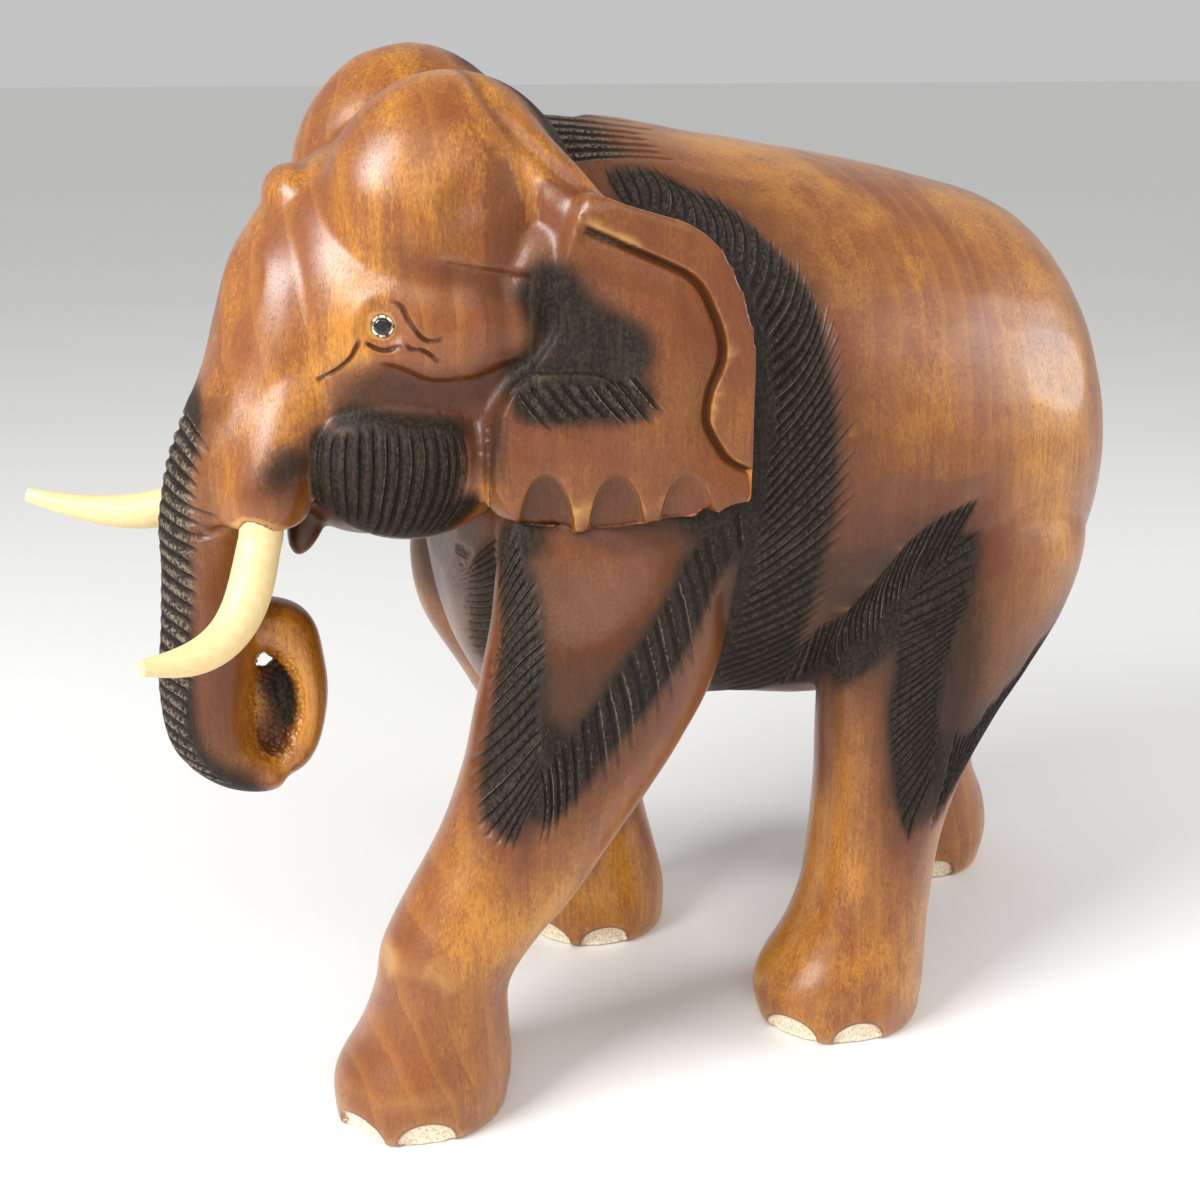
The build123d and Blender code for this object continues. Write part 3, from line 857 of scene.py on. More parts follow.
    # Stain gathers in the hollows and is rubbed off the sharp edges; over that, painted shade darkens
    # the hollows and painted highlights lighten the sharp edges.
    tone = tint.blend(tone, GRIME_AND_SHADE, hollow.rise(0.10, 0.55) * 0.7)
    proud = (0.0 - hollow + (speckle - 0.5) * 0.12).rise(0.16, 0.50)
    tone = tint.blend(tone, RUBBED_AND_HIGHLIGHT, proud * 0.36 * (1.0 - soot_and_shadow * 0.85))
    # Bare chalky toenails with a smudged edge.
    bare = (nail + (speckle - 0.5) * 0.22 + (cloud - 0.5) * 0.25).rise(0.02, 0.09)
    chalk = tint.blend(BARE, CHALK, (speckle * 0.5 + pore * 0.5).rise(0.44, 0.62) * 0.7)
    rim_line = nail.rise(-0.10, -0.01) * (1.0 - nail.rise(0.0, 0.06))
    tone = tint.blend(tone, UMBER, rim_line * 0.5)
    tone = tint.blend(tone, chalk, bare)
    rough = 0.42 + (fleck - 0.5) * 0.2 + pores * 0.2 + soot_and_shadow * 0.12 + bare * 0.3
    varnish = (1.0 - soot_and_shadow).most(0.0) * (1.0 - shade.rise(0.1, 0.9) * 0.6)
    varnish = varnish * (1.0 - bare) * (1.0 - pores * 0.3)
    height = (fibre - 0.5) * 0.05 - pores * 0.05 - cut * 0.35 + (cloud - 0.5) * 0.3
    height = height + (speckle - 0.5) * 0.05 * (soot_and_shadow + bare + 0.2) + (fleck - 0.5) * 0.05
    bump = tint.node("ShaderNodeBump", Strength=0.9, Distance=MM, Height=height)
    finish_piece(piece, wood, {
        "Base Color": tone, "Roughness": rough, "Normal": bump, "Specular IOR Level": 0.22,
        "Coat Weight": varnish, "Coat Roughness": 0.33, "Coat IOR": 1.52,
    })
    piece.select_set(True)
    bpy.context.view_layer.objects.active = piece
    bpy.ops.object.shade_smooth()
    piece.select_set(False)


stain_and_shade(body, "wood body, stained and shaded", PATCHES)
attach(body, "elephant")
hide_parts("carving")

# ---------------------------------------------------------------- head, trunk and ears
# The front of the same block: skull with twin domes, drooping trunk curled back on itself,
# and flat ears with a rolled rim. It meets the body in the deep cut behind the head.
HEAD = [
    (-14, 0, 242, 90, 28, 26), (-29, 0, 241, 90, 47, 46), (-48, 0, 241, 90, 54, 50),
    (-72, 0, 241, 90, 56, 48), (-92, 0, 236, 90, 50, 41), (-102, 0, 234, 90, 44, 34),
    (-108, 0, 232, 90, 36, 26),
]
TRUNK = [
    (-86, 0, 276, 0, 20, 16), (-93, 0, 258, 0, 26, 27), (-98, 0, 242, 0, 26, 31),
    (-105, 0, 226, 0, 24, 30), (-119, 0, 206, 8, 21, 26), (-128, 0, 186, 10, 17, 18.5),
    (-130, 0, 168, 4, 15.5, 16.5), (-132, 0, 150, 0, 15, 15.5), (-134.5, 0, 132, 8, 14.5, 15),
    (-134, 0, 116, 24, 13, 15), (-127, 0, 105.5, 55, 10, 14), (-118, 0, 102, 92, 7.3, 13.5),
    (-113.5, 0, 103.5, 108, 4, 10),
]
TRUNK_TIP = [
    (-118, 0, 102.5, 92, 5, 11), (-110, 0, 107.5, 132, 6.3, 12.8), (-105, 0, 120, 170, 6, 12.8),
    (-105.5, 0, 134, 190, 6.8, 12.5), (-110.5, 0, 145, 225, 8.8, 11.5), (-122, 0, 149, 258, 8, 10),
]
SHEATH = [
    (-94, 0, 242, 0, 22, 30), (-101, 0, 228, 0, 23, 32), (-109, 0, 213, 0, 21, 34),
    (-115, 0, 199, 0, 18.5, 35.5), (-117, 0, 190, 0, 17, 35), (-118, 0, 184.5, 0, 15.5, 33),
]


def lobe(name, outline, side):
    """A flat ear with its outline drawn on the slanting outer face; side is -1 for left."""
    bpy.ops.mesh.primitive_circle_add(vertices=20 * len(outline), radius=1, fill_type="NGON")
    ear = bpy.context.object
    ear.name = name
    bpy.ops.object.mode_set(mode="EDIT")
    bpy.ops.mesh.extrude_region_move(TRANSFORM_OT_translate={"value": (0, 0, 1)})
    bpy.ops.object.mode_set(mode="OBJECT")
    rim = places(ear) * MM
    turns = (np.arctan2(rim[:, 1], rim[:, 0]) / (2 * pi)) % 1 * len(outline)
    loop = curve_through(outline[-1:] + outline + outline[:2], turns + 1)
    deep = rim[:, 2] / rim[:, 2].max() * EAR_THICK
    x = EAR_FOOT[0] + loop[:, 0] * cos(EAR_SLANT) - deep * sin(EAR_SLANT)
    y = side * (EAR_FOOT[1] + loop[:, 0] * sin(EAR_SLANT) - deep * cos(EAR_SLANT))
    move(ear, np.stack([x, y, loop[:, 1]], 1))
    return ear


# A row of lumps makes the ridge that runs down behind each dome to the ear.
RIDGE = [(-50 + 2.4 * i, 31 + 2.5 * i, 292 - 3.2 * i) for i in range(1, 9)]
head_lumps = [
    limb("skull", HEAD), limb("trunk", TRUNK), limb("trunk_tip", TRUNK_TIP), limb("sheath", SHEATH),
    lump("curl_web", (-114, 0, 119), (13, 5, 16)),
    lump("dome_right", (-58, 25, 270), (38, 29, 45.5)),
    lump("dome_left", (-60, -22, 266), (38, 28, 42)),
    lump("brow_knob", (-100, 0, 273), (9, 13, 10), 20),
    lump("cheek_left", (-76, -28, 202), (31, 21, 24)),
    lump("cheek_right", (-76, 28, 202), (31, 21, 24)),
    lump("jaw", (-80, 0, 194), (27, 26, 21)),
    lump("lower_lip", (-100, 0, 184), (6, 7, 17), -18),
    lump("ear_root_left", (-36, -44, 243), (20, 13, 30)),
    lump("ear_root_right", (-36, 44, 243), (20, 13, 30)),
    lobe("ear_left", EAR, -1), lobe("ear_right", EAR, 1),
]
head_lumps += [lump("ridge", (x, side * y, z), (9, 8, 11)) for x, y, z in RIDGE for side in (-1, 1)]
head = fuse("carving_head", head_lumps, grain=0.95 * fine, soften=14)

co, way = places(head), facing(head)
# Knife facets on the skull, then mounds and hollows of the face, drawn on the left and mirrored.
HEAD_FACETS = [
    ((-105, -17, 264), (-0.68, -0.57, 0.46), 28, 2.2), ((-86, -35, 283), (-0.60, -0.62, 0.51), 30, 2.8),
    ((-66, -26, 306), (-0.22, -0.25, 0.94), 26, 1.4), ((-52, -48, 279), (0.05, -0.84, 0.54), 30, 2.6),
    ((-112, -16, 236), (-0.88, -0.35, 0.32), 30, 1.6),
]
for facet in HEAD_FACETS:
    pare(co, *facet)
handwork(co, way, 0.10)
way = facing(head)
dent(co, way, [(-82, -45, 243), (-70, -49, 243), (-62, -50, 245)], 12, -2.4)
dent(co, way, [(-88, -43, 224), (-76, -45, 221), (-62, -47, 223), (-52, -49, 228)], 6, 1.6)
dent(co, way, [(-66, -50, 274), (-66, -50, 275)], 6, 1.5)
dent(co, way, [(-92, -34, 270), (-84, -40, 262)], 9, 1.0)
dent(co, way, [(-46, -54, 247), (-44, -56, 240), (-48, -54, 232)], 5, 1.8)
# The skin is levelled where each bead is let in.
EYE, EYE_OUT = (-87, 43, 242), (-0.35, 1, 0)
for side in (-1, 1):
    centre = np.array(EYE) * (1, side, 1)
    out = np.array(EYE_OUT) * (1, side, 1) / np.linalg.norm(EYE_OUT)
    off = co - centre
    rise = off @ out
    from_axis = np.linalg.norm(off - rise[:, None] * out, axis=1)
    flat = (1 - ease(from_axis, 3.4, 10)) * (np.abs(rise) < 12)
    co -= out * (rise * flat)[:, None]
move(head, co)

# Where the face, the trunk's front and the ears' outer faces carry fine cuts, the skin is finer.
way = facing(head)
flank = np.abs(way[:, 1]) > 0.25
cheek = (co[:, 0] > -108) & (co[:, 0] < -55) & (co[:, 2] > 178) & (co[:, 2] < 222) & flank
eye = (co[:, 0] > -108) & (co[:, 0] < -68) & (co[:, 2] > 222) & (co[:, 2] < 258) & flank
curl = (np.hypot((co[:, 0] + 114) / 12, (co[:, 2] - 122) / 20) < 1) & (np.abs(co[:, 1]) < 12)
strip = (way[:, 0] < -0.1) & (co[:, 2] < 216) & (np.abs(co[:, 1]) < 24) & (co[:, 0] < -118)
lobes = (co[:, 0] > -60) & flank & (np.abs(co[:, 1]) > 45) & (co[:, 2] > 180) & (co[:, 2] < 262)
refine(head, np.flatnonzero(cheek | eye | strip | lobes | curl))
co = places(head)
eye = (np.abs(co[:, 0] + 88) < 18) & (np.abs(co[:, 2] - 240) < 16) & (np.abs(facing(head)[:, 1]) > 0.25)
refine(head, np.flatnonzero(eye))
co, way = places(head), facing(head)

# The cut that frames the back of each dome, with a rounded collar behind it.
COLLAR = [(-58, -23, 308), (-54, -37, 301), (-49, -43, 293), (-42, -49, 285), (-36, -52, 279),
          (-31, -55, 274)]
score(co, way, COLLAR, 3.6, 2.0)
# The brow's step, which deepens towards the ear, and the lower edge of the mound round the eye.
off_lobes = ear_view(co)[1] < ear_view(co)[0][:, 0] * 0.25 - 9.5
skull = np.flatnonzero(off_lobes | (co[:, 0] < -48))
skin, skin_way = co[skull], way[skull]
ledge(skin, skin_way, [(-43, 254.4), (-49, 256.2), (-57, 257.2), (-66, 259)], 2.8, 9, 2.0)
ledge(skin, skin_way, [(-53, 232), (-59, 229.5), (-65, 228), (-74, 228), (-82, 231.5)], 1.9, 9, 3.0)
co[skull] = skin
# The crease between the lip and the cheek pouch, and two small nicks in the lip.
POUCH_FRONT = [(-102, -22, 188), (-103, -29, 199), (-100, -31, 208), (-95, -34, 217), (-90, -37, 220)]
score(co, way, POUCH_FRONT, 2.6, 2.4)
score(co, way, [(-109, -33, 204), (-113, -34, 205.5), (-117, -34, 202)], 0.8, 0.6)
score(co, way, [(-107, -33, 207), (-111, -34, 210), (-116, -34, 208)], 0.8, 0.5)
# Lips: the groove above the tusks' mouths and the step back to the trunk.
score(co, way, [(-137, -14, 182), (-131, -18, 182.5), (-125, -22, 183)], 2.2, 1.8)
# Eyelids, the fold behind each eye and the tear line in front of it, in side view.
EYE_LINES = {
    "brow_fold": [(-86, 249.5), (-82.5, 247.5), (-80.5, 243), (-78, 239.5), (-75.5, 238), (-73, 238.5)],
    "under_fold": [(-82, 238.5), (-80.5, 236), (-77.5, 235.5), (-75, 234), (-73.5, 232.5)],
    "lower_lid": [(-92, 238.2), (-89.5, 236.4), (-86.5, 235.6), (-83, 236.8)],
    "tear": [(-92.5, 239.5), (-94, 236), (-95.5, 233), (-99, 229.5), (-103, 227)],
}
EYE_LINE_DEPTH, EYE_LINE_WIDTH = 1.0, 0.8


def round_eye(co):
    """Which places lie round the eyes in side view."""
    return (np.abs(co[:, 0] + 88) < 20) & (np.abs(co[:, 2] - 239) < 18)


lids = np.flatnonzero((way[:, 1] * np.sign(co[:, 1]) > 0.2) & round_eye(co))
depth = np.zeros(len(lids))
for line in EYE_LINES.values():
    gap, along = reach(co[lids] * (1, 0, 1), [(x, 0, z) for x, z in line], 2)
    taper = ease(along, -0.01, 0.25) * ease(1 - along, -0.01, 0.25)
    depth = np.maximum(depth, EYE_LINE_DEPTH * np.clip(1 - gap / EYE_LINE_WIDTH, 0, 1) * taper)
co[lids] -= way[lids] * depth[:, None]
dent(co, way, [(-89, -43, 233.6), (-84, -44, 233.8)], 2.2, -0.5)

# Ears: the rolled rim, the hollow behind the jaw, its shelf, and three gouge scoops in the hem.
RIM = [(28, 267), (35, 264), (42, 261), (49, 258), (55, 255), (59, 251), (62, 245), (64, 240),
       (65, 234), (64, 229), (62, 224), (61, 219), (61, 214), (64, 208), (68, 203), (76, 199)]
SHELF = [(35, 225), (32, 227), (28, 228), (20, 228), (15, 228)]
SCOOPS = ((16, 8.6, 202.6), (35.8, 8.6, 201.8), (55.8, 8.6, 202))     # middle, half width and top
HEM = 182.5                   # height of the ears' lower edge


def ear_face(co, way):
    """Which places lie on the ears' outer faces, and where along and up the face they are."""
    face, out = ear_view(co)
    faces_out = -way[:, 0] * sin(EAR_SLANT) + way[:, 1] * np.sign(co[:, 1]) * cos(EAR_SLANT)
    on = (out > -9) & (out < 4) & (faces_out > 0.2)
    on &= (face[:, 0] > 0) & (face[:, 0] < 81) & (co[:, 2] > 178)
    return np.flatnonzero(on), face


def arch_inside(face, scoop):
    """How many mm inside a scoop's arch a place on the ear is."""
    middle, half, top = scoop
    return (1 - np.hypot((face[:, 0] - middle) / half, (face[:, 1] - HEM) / (top - HEM))) * half


# The curl was left rough inside, where the knife could not follow.
inside_curl = (np.hypot((co[:, 0] + 114) / 11, (co[:, 2] - 122) / 19) < 1) & (np.abs(co[:, 1]) < 11)
roughness = np.sin(co[:, 0] * 1.9 + 2 * np.sin(co[:, 2] * 1.1))
roughness *= np.sin(co[:, 2] * 1.6 + np.sin(co[:, 1] * 2.1))
co += way * (0.5 * roughness * inside_curl)[:, None]

on, face = ear_face(co, way)
spot = face[on]
inner, past = side_of(spot, RIM[::-1])
ending = np.exp(-(past / 2.5) ** 2)
cut = 3.0 * np.exp(-(np.abs(inner) / 0.8) ** 2) * ending
cut += (inner > 0) * (0.8 + 2.0 * np.exp(-inner / 6)) * ease(inner, 0, 0.8) * ending
above, past = side_of(spot, SHELF)
cut += 1.8 * ease(-above, 0, 0.7) * np.exp(np.minimum(above, 0) / 8) * np.exp(-(past / 3) ** 2)
cut += 3.2 * np.exp(-((spot[:, 0] - 22) / 11) ** 2 - ((spot[:, 1] - 240) / 11) ** 2)
cut += 1.0 * np.exp(-((spot[:, 0] - 36) / 9) ** 2 - ((spot[:, 1] - 236) / 9) ** 2)
cut -= 1.4 * np.exp(-((spot[:, 0] - 46) / 13) ** 2 - ((spot[:, 1] - 222) / 20) ** 2)
for scoop in SCOOPS:
    deep = arch_inside(spot, scoop)
    fall = 1 - np.clip((spot[:, 1] - HEM) / (scoop[2] - HEM), 0, 1)
    cut = np.maximum(cut, (1.2 + 2.4 * fall) * ease(deep, 0, 1.5))
co[on, 0] += cut * sin(EAR_SLANT)
co[on, 1] -= cut * cos(EAR_SLANT) * np.sign(co[on, 1])
move(head, co)

# Where each ear grows out of the cheek, and along the brow, the cuts are rubbed smooth.
SEAM = [(-42, -53, 266), (-40, -54, 250), (-42, -53, 240), (-46, -51, 232), (-52, -50, 224),
        (-57, -50, 216), (-59, -51, 209), (-59, -51, 201), (-56, -52, 191), (-50, -54, 186)]
BROW = [(-44, -54, 255), (-56, -48, 257), (-66, -47, 259)]
rubbed = np.maximum(spray(co, SEAM, 2.5, 4), 0.8 * spray(co, BROW, 1, 2))
smooth = np.stack([spread(head, co[:, i], 14) for i in range(3)], 1)
co += (smooth - co) * rubbed[:, None]
# The ears' rear edges are sanded.
face, out = ear_view(co)
lobe_edge = np.flatnonzero((out > -15) & (out < 5) & (face[:, 0] > 26) & (co[:, 2] > 183))
sanded = 0.85 * np.exp(-(outside_of(face[lobe_edge], EAR) / 2.5) ** 2)
smooth = np.stack([spread(head, co[:, i], 16) for i in range(3)], 1)
co[lobe_edge] += (smooth - co)[lobe_edge] * sanded[:, None]
move(head, co)

# Veiner strokes: round the cheek pouches, across the ears and down the trunk's front.
CHEEK_STROKES = [
    (0, (-103, 212), (-105, 199), (-101, 187)), (5, (-87, 215), (-88, 201), (-90, 183)),
    (11, (-69, 213), (-69, 198), (-74, 183)), (12, (-66, 212), (-66, 198), (-71, 184)),
]
EAR_STROKES = [
    (0, (8.5, 224), (12.5, 218), (17.5, 212.5)), (2, (16, 226), (20.5, 220), (25.5, 215)),
    (4, (25, 226), (29, 220.5), (34, 215.5)), (7, (35.5, 226.5), (39.5, 221.5), (44.5, 215)),
    (8, (39.5, 228), (43.5, 223), (48.5, 217.5)),
]
TRUNK_STROKES = [     # across from the front's middle line, then up
    (0, (0, 213), (10, 211.5), (19, 207)), (5, (0, 193), (9, 192), (18, 188)),
    (9, (0, 176), (7, 175), (14, 172)), (15, (0, 150), (7, 149), (13, 146)),
    (20, (0, 128.5), (7, 127.5), (12, 125)), (25, (0, 107), (6, 106), (11, 104)),
]
HEAD_PATCHES = {"cheek": CHEEK_STROKES, "ear": EAR_STROKES, "trunk": TRUNK_STROKES}
HEAD_DEPTHS = {"cheek": 0.85, "ear": 0.5, "trunk": 0.95}


def head_strokes(co, way):
    """Every patch of the head: stroke number, share along it and 1 where the patch shows."""
    on, face = ear_face(co, way)
    on_ear = np.zeros(len(co))
    on_ear[on] = 1
    outside = ease(way[:, 1] * np.sign(co[:, 1]), 0.0, 0.3)
    pouch = outside * (on_ear < 0.5) * (co[:, 0] < -58) * ease(co[:, 0], -107, -104)
    trunk_front = ease(-way[:, 0], 0.05, 0.3) * (co[:, 0] < -121)
    views = {
        "cheek": (co[:, (0, 2)], pouch),
        "ear": (face, on_ear),
        "trunk": (np.stack([np.abs(co[:, 1]), co[:, 2]], 1), trunk_front),
    }
    maps = {}
    for name, (flat, shows) in views.items():
        maps[name] = stroke_map(HEAD_PATCHES[name], flat)
        maps[name][:, 2] *= shows
    return maps


way = facing(head)
maps = head_strokes(co, way)
depth = np.zeros(len(co))
for name, place in maps.items():
    depth = np.maximum(depth, HEAD_DEPTHS[name] * stroke_cut(place, HEAD_PATCHES[name][-1][0]))
co -= way * depth[:, None]
move(head, co)

# Drilled sockets for the two tusks, and a shallow recess for each eye.
TUSK_HOLE, EYE_HOLE = (6.35, 14, 8), (3.05, 4, 4)     # radius, depth and the run cleared in front
SOCKETS = (
    ((-120, -27, 185), (-0.16, -0.12, -1), TUSK_HOLE), ((-122, 27, 186), (-0.82, 0.22, -0.52), TUSK_HOLE),
    ((-87, -43, 242), (-0.35, -1, 0), EYE_HOLE), ((-87, 43, 242), (-0.35, 1, 0), EYE_HOLE),
)
for mouth, out, (radius, deep, clear) in SOCKETS:
    near = np.linalg.norm(co - mouth, axis=1) < 2 * radius
    refine(head, np.flatnonzero(near))
    co = places(head)
    drill(co, mouth, out, radius, deep, clear)
    move(head, co)
thin_out(head, MOST_TRIANGLES)
bpy.ops.object.select_all(action="DESELECT")

co, way = places(head), facing(head)
maps = head_strokes(co, way)
for name, place in maps.items():
    store(head, name, place)
on, face = ear_face(co, way)
on_ear = np.zeros(len(co))
on_ear[on] = 1
off_ear = 1 - on_ear
in_curl = np.abs(co[:, 1]) < 10
ink = np.stack([face[:, 0], np.zeros(len(co)), face[:, 1]], 1)     # the ear's own view, flattened
cheek = maps["cheek"]
soot_and_shadow = (ease(cheek[:, 0], -2.2, -0.5) * (1 - ease(cheek[:, 0], 10, 13))
        * ease(cheek[:, 1], -0.3, 0.2) * (1 - ease(cheek[:, 1], 0.85, 1.2)) * cheek[:, 2])
HEAD_SOOT = [
    (0.9, 5, 6, [(-40, -54, 250), (-41, -53, 240), (-46, -51, 232), (-52, -50, 224)]),
    (0.8, 3.5, 5, [(-52, -50, 224), (-56, -50, 216), (-58, -51, 209), (-58, -50, 200)]),
    (0.95, 16, 5, [(-137, 0, 207), (-142, 0, 196), (-146, 0, 170), (-147, 0, 150), (-148, 0, 130),
                   (-143, 0, 112), (-132, 0, 100)]),
    (0.85, 6, 7, [(-112, -35, 204), (-116, -35, 202)]),
]
CHEEK_SOOT = [
    (1, 5, 5, [(-96, -36, 216), (-90, -41, 215), (-82, -44, 213), (-70, -45, 212)]),
    (1, 5, 5, [(-95, -34, 186), (-86, -39, 184), (-74, -40, 183), (-66, -44, 190)]),
]
POUCH_SOOT = [(1, 5, 3, [(-102, -34, 209), (-104, -35, 203), (-103, -33, 195), (-100, -31, 189)])]
NAPE_SOOT = [(1, 7, 5, [(-44, -20, 305), (-34, -30, 296), (-24, -38, 284), (-16, -40, 272)])]
# Painted shadow: the web inside the trunk's curl is sprayed black.
CURL_BLACK_SHADOW = [(1, 8, 5, [(-112, 0, 128), (-110, 0, 120)])]
EAR_SOOT = [
    (0.98, 10, 7, [(18, 0, 250), (23, 0, 241), (32, 0, 237), (37, 0, 234)]),
    (1, 5, 4, [(10, 0, 228), (22, 0, 229), (38, 0, 230)]),
    (1, 7, 5, [(13, 0, 221), (24, 0, 221), (40, 0, 222)]),
]
soot_and_shadow = spray_lines(soot_and_shadow, co, HEAD_SOOT)
soot_and_shadow = spray_lines(soot_and_shadow, co, CHEEK_SOOT, off_ear)
soot_and_shadow = spray_lines(soot_and_shadow, co, POUCH_SOOT, co[:, 0] > -106.5)
soot_and_shadow = spray_lines(soot_and_shadow, co, NAPE_SOOT, off_ear * (way[:, 0] > 0.1))
soot_and_shadow = spray_lines(soot_and_shadow, co, CURL_BLACK_SHADOW, in_curl)
soot_and_shadow = spray_lines(soot_and_shadow, ink, EAR_SOOT, on_ear)
HEAD_SHADE = [
    # painted shade in the hollow where the ear meets the cheek
    (0.8, 7, 8, [(-50, -48, 230), (-55, -46, 226), (-60, -45, 218), (-62, -47, 205)]),
    # painted shade under the brow's step
    (0.55, 4, 8, [(-80, -45, 259), (-70, -47, 256), (-58, -49, 252)]),
    # painted shade behind the brow, at the ear's root
    (0.9, 4, 10, [(-58, -49, 251), (-50, -51, 250), (-46, -52, 246)]),
    # painted shade on the temple and in its dimple
    (0.35, 6, 6, [(-82, -44, 262), (-70, -48, 258), (-66, -50, 274)]),
    # stain darkening the trunk's sides
    (0.5, 9, 8, [(-132, -14, 214), (-137, -16, 195), (-134, -18, 175), (-135, -16, 140),
                 (-136, -14, 115)]),
    # stain beside the lip
    (0.5, 6, 7, [(-120, -34, 197), (-110, -34, 198)]),
    # painted shade under the jaw and lower lip
    (0.9, 16, 10, [(-106, -10, 176), (-100, 0, 172), (-80, 0, 172)]),
]
CHEEK_SHADE = [
    # painted shade in the collar's cut
    (0.6, 1.5, 4, COLLAR),
    # painted shade under the mound round the eye
    (0.9, 8, 7, [(-94, -40, 222), (-84, -42, 223), (-72, -46, 220), (-60, -48, 221), (-52, -50, 228)]),
    # painted shade on the cheek above the pouch
    (0.8, 9, 8, [(-88, -40, 216), (-72, -45, 213), (-60, -46, 212)]),
]
# Painted shade: brown round the inside of the trunk's curl.
CURL_SHADE = [(0.75, 9, 4, [(-115, 0, 110), (-112, 0, 118)])]
# Painted shade in the ear's upper hollow, under the rolled rim.
EAR_SHADE = [(0.5, 6, 6, [(24, 0, 258), (36, 0, 254), (50, 0, 250), (57, 0, 240)])]
# Painted shade: each ear's whole outer face is darkened, as it faces away from the main light.
shade = spray_lines(0.42 * on_ear, co, HEAD_SHADE)
shade = spray_lines(shade, co, CHEEK_SHADE, off_ear)
shade = spray_lines(shade, co, CURL_SHADE, in_curl)
shade = spray_lines(shade, ink, EAR_SHADE, on_ear)
# Painted shade darkens the hem's scoops, less so towards the ear's rear, and the groove inside the
# rolled rim and the lines round the eyes.
hem = np.zeros(len(co))
for scoop in SCOOPS:
    hem[on] = np.maximum(hem[on], arch_inside(face[on], scoop))
fall = np.clip((face[:, 1] - HEM) / 20, 0, 1)
across = np.clip((face[:, 0] - 8) / 60, 0, 1)
shade = np.maximum(shade, (0.88 - 0.3 * across - 0.25 * (1 - fall) * across) * ease(hem, 0.2, 1.8))
rim_gap = np.full(len(co), 99.0)
rim_off, rim_past = side_of(face[on], RIM[::-1])
rim_gap[on] = np.hypot(rim_off, rim_past)
shade = np.maximum(shade, 0.9 * (1 - ease(rim_gap, 0.3, 1.7)))
lids = np.flatnonzero(round_eye(co))
for line in EYE_LINES.values():
    gap, along = reach(co[lids] * (1, 0, 1), [(x, 0, z) for x, z in line], 3)
    shade[lids] = np.maximum(shade[lids], 0.8 * (1 - ease(gap, 0.3, 1.0)) * ease(along, -0.01, 0.2))
haze = spread(head, soot_and_shadow, 70)
soot_and_shadow = 0.5 * soot_and_shadow + 0.5 * spread(head, soot_and_shadow, 12)
shade = np.maximum(shade, 0.8 * haze)
store(head, "soot_and_shadow", soot_and_shadow)
store(head, "shade", shade)
store(head, "nail", np.full(len(co), -1.0))
# Along the ears' seams and the brow, the painted shade in the hollows and highlights on edges are kept
# faint.
rubbed = np.maximum(spray(co, SEAM, 3, 4), spray(co, BROW, 3, 3))
store(head, "hollow", hollowness(head, co, way) * (1 - 0.85 * rubbed))
stain_and_shade(head, "wood head, stained and shaded", HEAD_PATCHES)
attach(head, "elephant")
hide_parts("carving")

# ---------------------------------------------------------------- tusks
# Two whittled and sanded tusks of a pale close-grained wood, waxed rather than stained,
# each pushed by its round butt into the socket under the lip.
IVORY, CREAM, STREAK = colour(234, 206, 146), colour(240, 216, 162), colour(212, 180, 124)
TUSK_GRAIN = {"left": (0.16, 1.1, 0.35), "right": (0.07, 1.1, 1.1)}     # squeezed across each run
for side, squeeze in TUSK_GRAIN.items():
    pale, tint, where = new_finish("tusk_" + side + " pale wood")
    fibre = grain_noise(tint, where, squeeze, 3.0, 0.6)
    cloud = grain_noise(tint, where, (0.12, 0.12, 0.12), 2.0)
    tone = tint.blend(IVORY, CREAM, (fibre + (cloud - 0.5) * 0.15).rise(0.38, 0.66))
    tone = tint.blend(tone, STREAK, fibre.rise(0.62, 0.70) * 0.3)
    rough = 0.42 + (fibre - 0.5) * 0.2
    height = (fibre - 0.5) * 0.12 + (cloud - 0.5) * 0.3
    bump = tint.node("ShaderNodeBump", Strength=0.5, Distance=MM, Height=height)
    looks = {"Base Color": tone, "Roughness": rough, "Normal": bump}
    finish_piece(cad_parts["tusk_" + side], pale, looks)

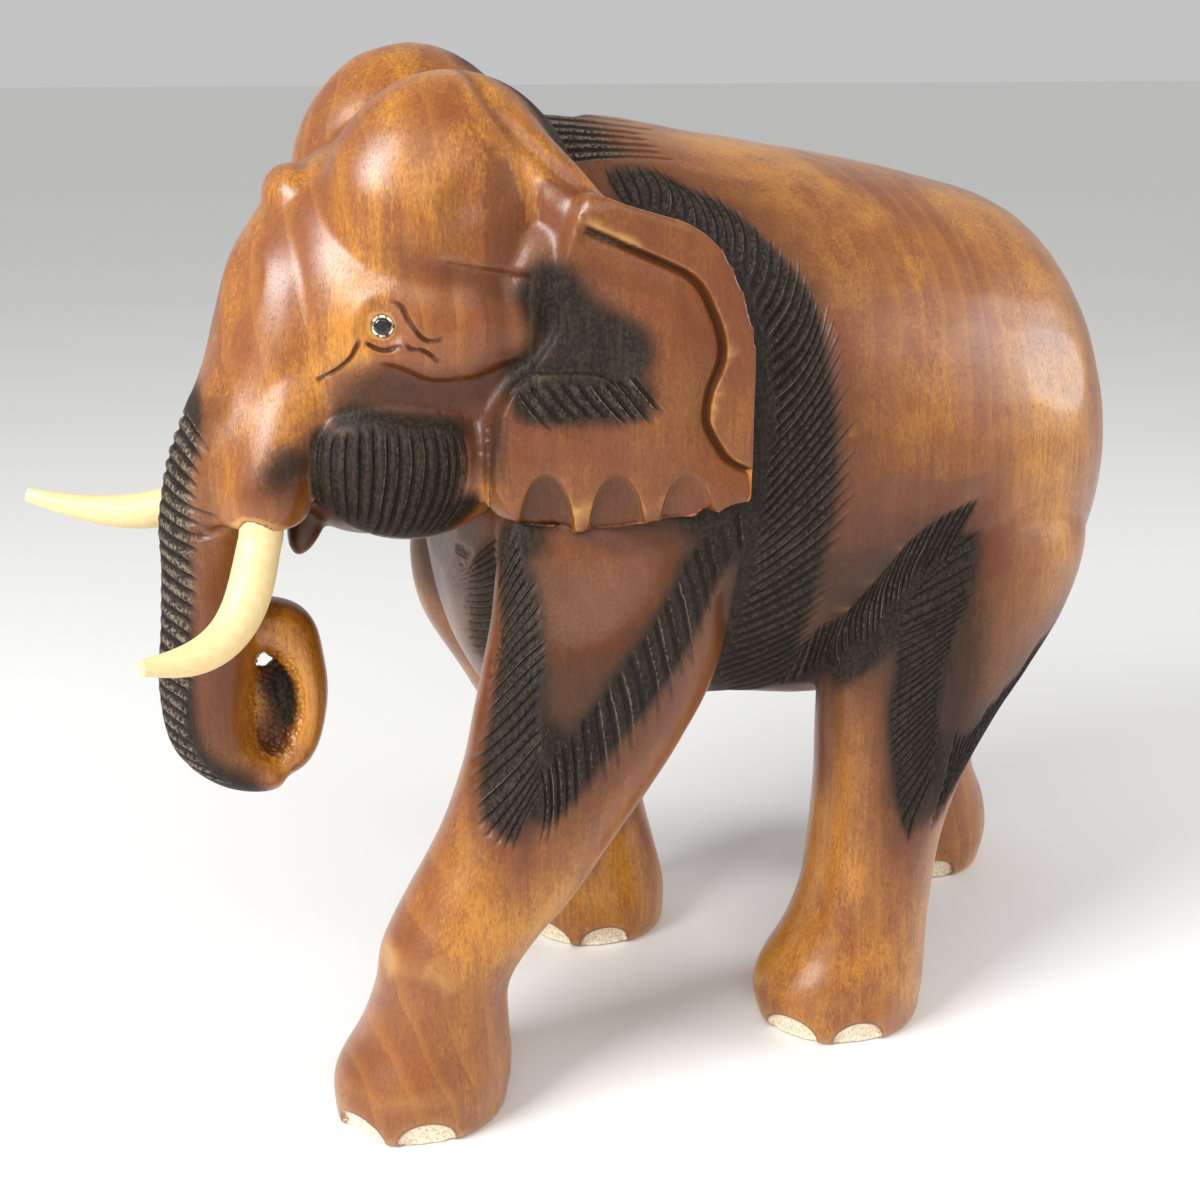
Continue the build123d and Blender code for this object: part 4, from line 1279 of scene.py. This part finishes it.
# ---------------------------------------------------------------- eyes
# A dab of off-white filler, uneven where the bead squeezed it out, holds each small black
# glass bead in its recess beside the brow.
FILLER, FILLER_GRIME = colour(236, 226, 206), colour(92, 66, 48)
BEAD_BLACK, BEAD_GREY = colour(12, 11, 12), colour(34, 30, 30)
for side in ("left", "right"):
    filler, tint, where = new_finish("eye filler " + side)
    patchy = grain_noise(tint, where, (0.7, 0.7, 0.7), 2.0, 0.7)
    tone = tint.blend(FILLER, FILLER_GRIME, patchy.rise(0.50, 0.60))
    bump = tint.node("ShaderNodeBump", Strength=0.6, Distance=MM, Height=patchy * 0.4)
    looks = {"Base Color": tone, "Roughness": 0.5, "Normal": bump}
    finish_piece(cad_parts["eye_ring_" + side], filler, looks)
    bead, tint, where = new_finish("eye bead " + side)
    smoky = grain_noise(tint, where, (1.2, 1.2, 1.2), 2.0)
    finish_piece(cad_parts["eye_bead_" + side], bead, {
        "Base Color": tint.blend(BEAD_BLACK, BEAD_GREY, smoky.rise(0.4, 0.7)),
        "Roughness": 0.12 + smoky * 0.1, "Coat Weight": 0.6, "Coat Roughness": 0.05,
    })

# ---------------------------------------------------------------- floor, light and camera
# A pale paper floor under a soft studio light. The camera stands in front of the animal's left
# side and a little above it, looking down.
bpy.ops.mesh.primitive_plane_add(size=40, location=(0, 0, -0.0005))
floor = bpy.context.object
floor.name = "floor"
paper = bpy.data.materials.new("pale floor")
paper.use_nodes = True
finish_piece(floor, paper, {"Base Color": (0.88, 0.88, 0.87, 1), "Roughness": 0.7})
world = bpy.data.worlds.new("studio")
bpy.context.scene.world = world
world.use_nodes = True
world.node_tree.nodes["Background"].inputs["Color"].default_value = (1, 1, 1, 1)
world.node_tree.nodes["Background"].inputs["Strength"].default_value = 0.55
target = Vector((-0.016, -0.024, 0.150))
azimuth, elevation, distance = radians(-22), radians(18), 0.52
away = Vector((sin(azimuth) * cos(elevation), -cos(azimuth) * cos(elevation), sin(elevation)))
bpy.ops.object.camera_add(location=target + away * distance)
camera = bpy.context.object
camera.rotation_euler = away.to_track_quat("Z", "Y").to_euler()
camera.data.lens = 50
camera.data.sensor_width = 36
camera.data.clip_start = 0.01
bpy.context.scene.camera = camera
bpy.context.scene.view_settings.view_transform = "Standard"
# A soft box high in front of the animal, one behind it, and a weaker one over the camera.
MIDDLE = Vector((0, 0, 0.15))
LIGHTS = (     # place in m, watts and width in m
    ((-1.0, -0.35, 0.85), 17.0, 0.55), ((1.0, -0.45, 0.5), 5.0, 0.5), ((-0.3, -1.1, 1.0), 4.0, 0.9),
)
for place, power, size in LIGHTS:
    bpy.ops.object.light_add(type="AREA", location=place)
    box = bpy.context.object
    box.data.energy = power
    box.data.size = size
    box.rotation_euler = (box.location - MIDDLE).to_track_quat("Z", "Y").to_euler()
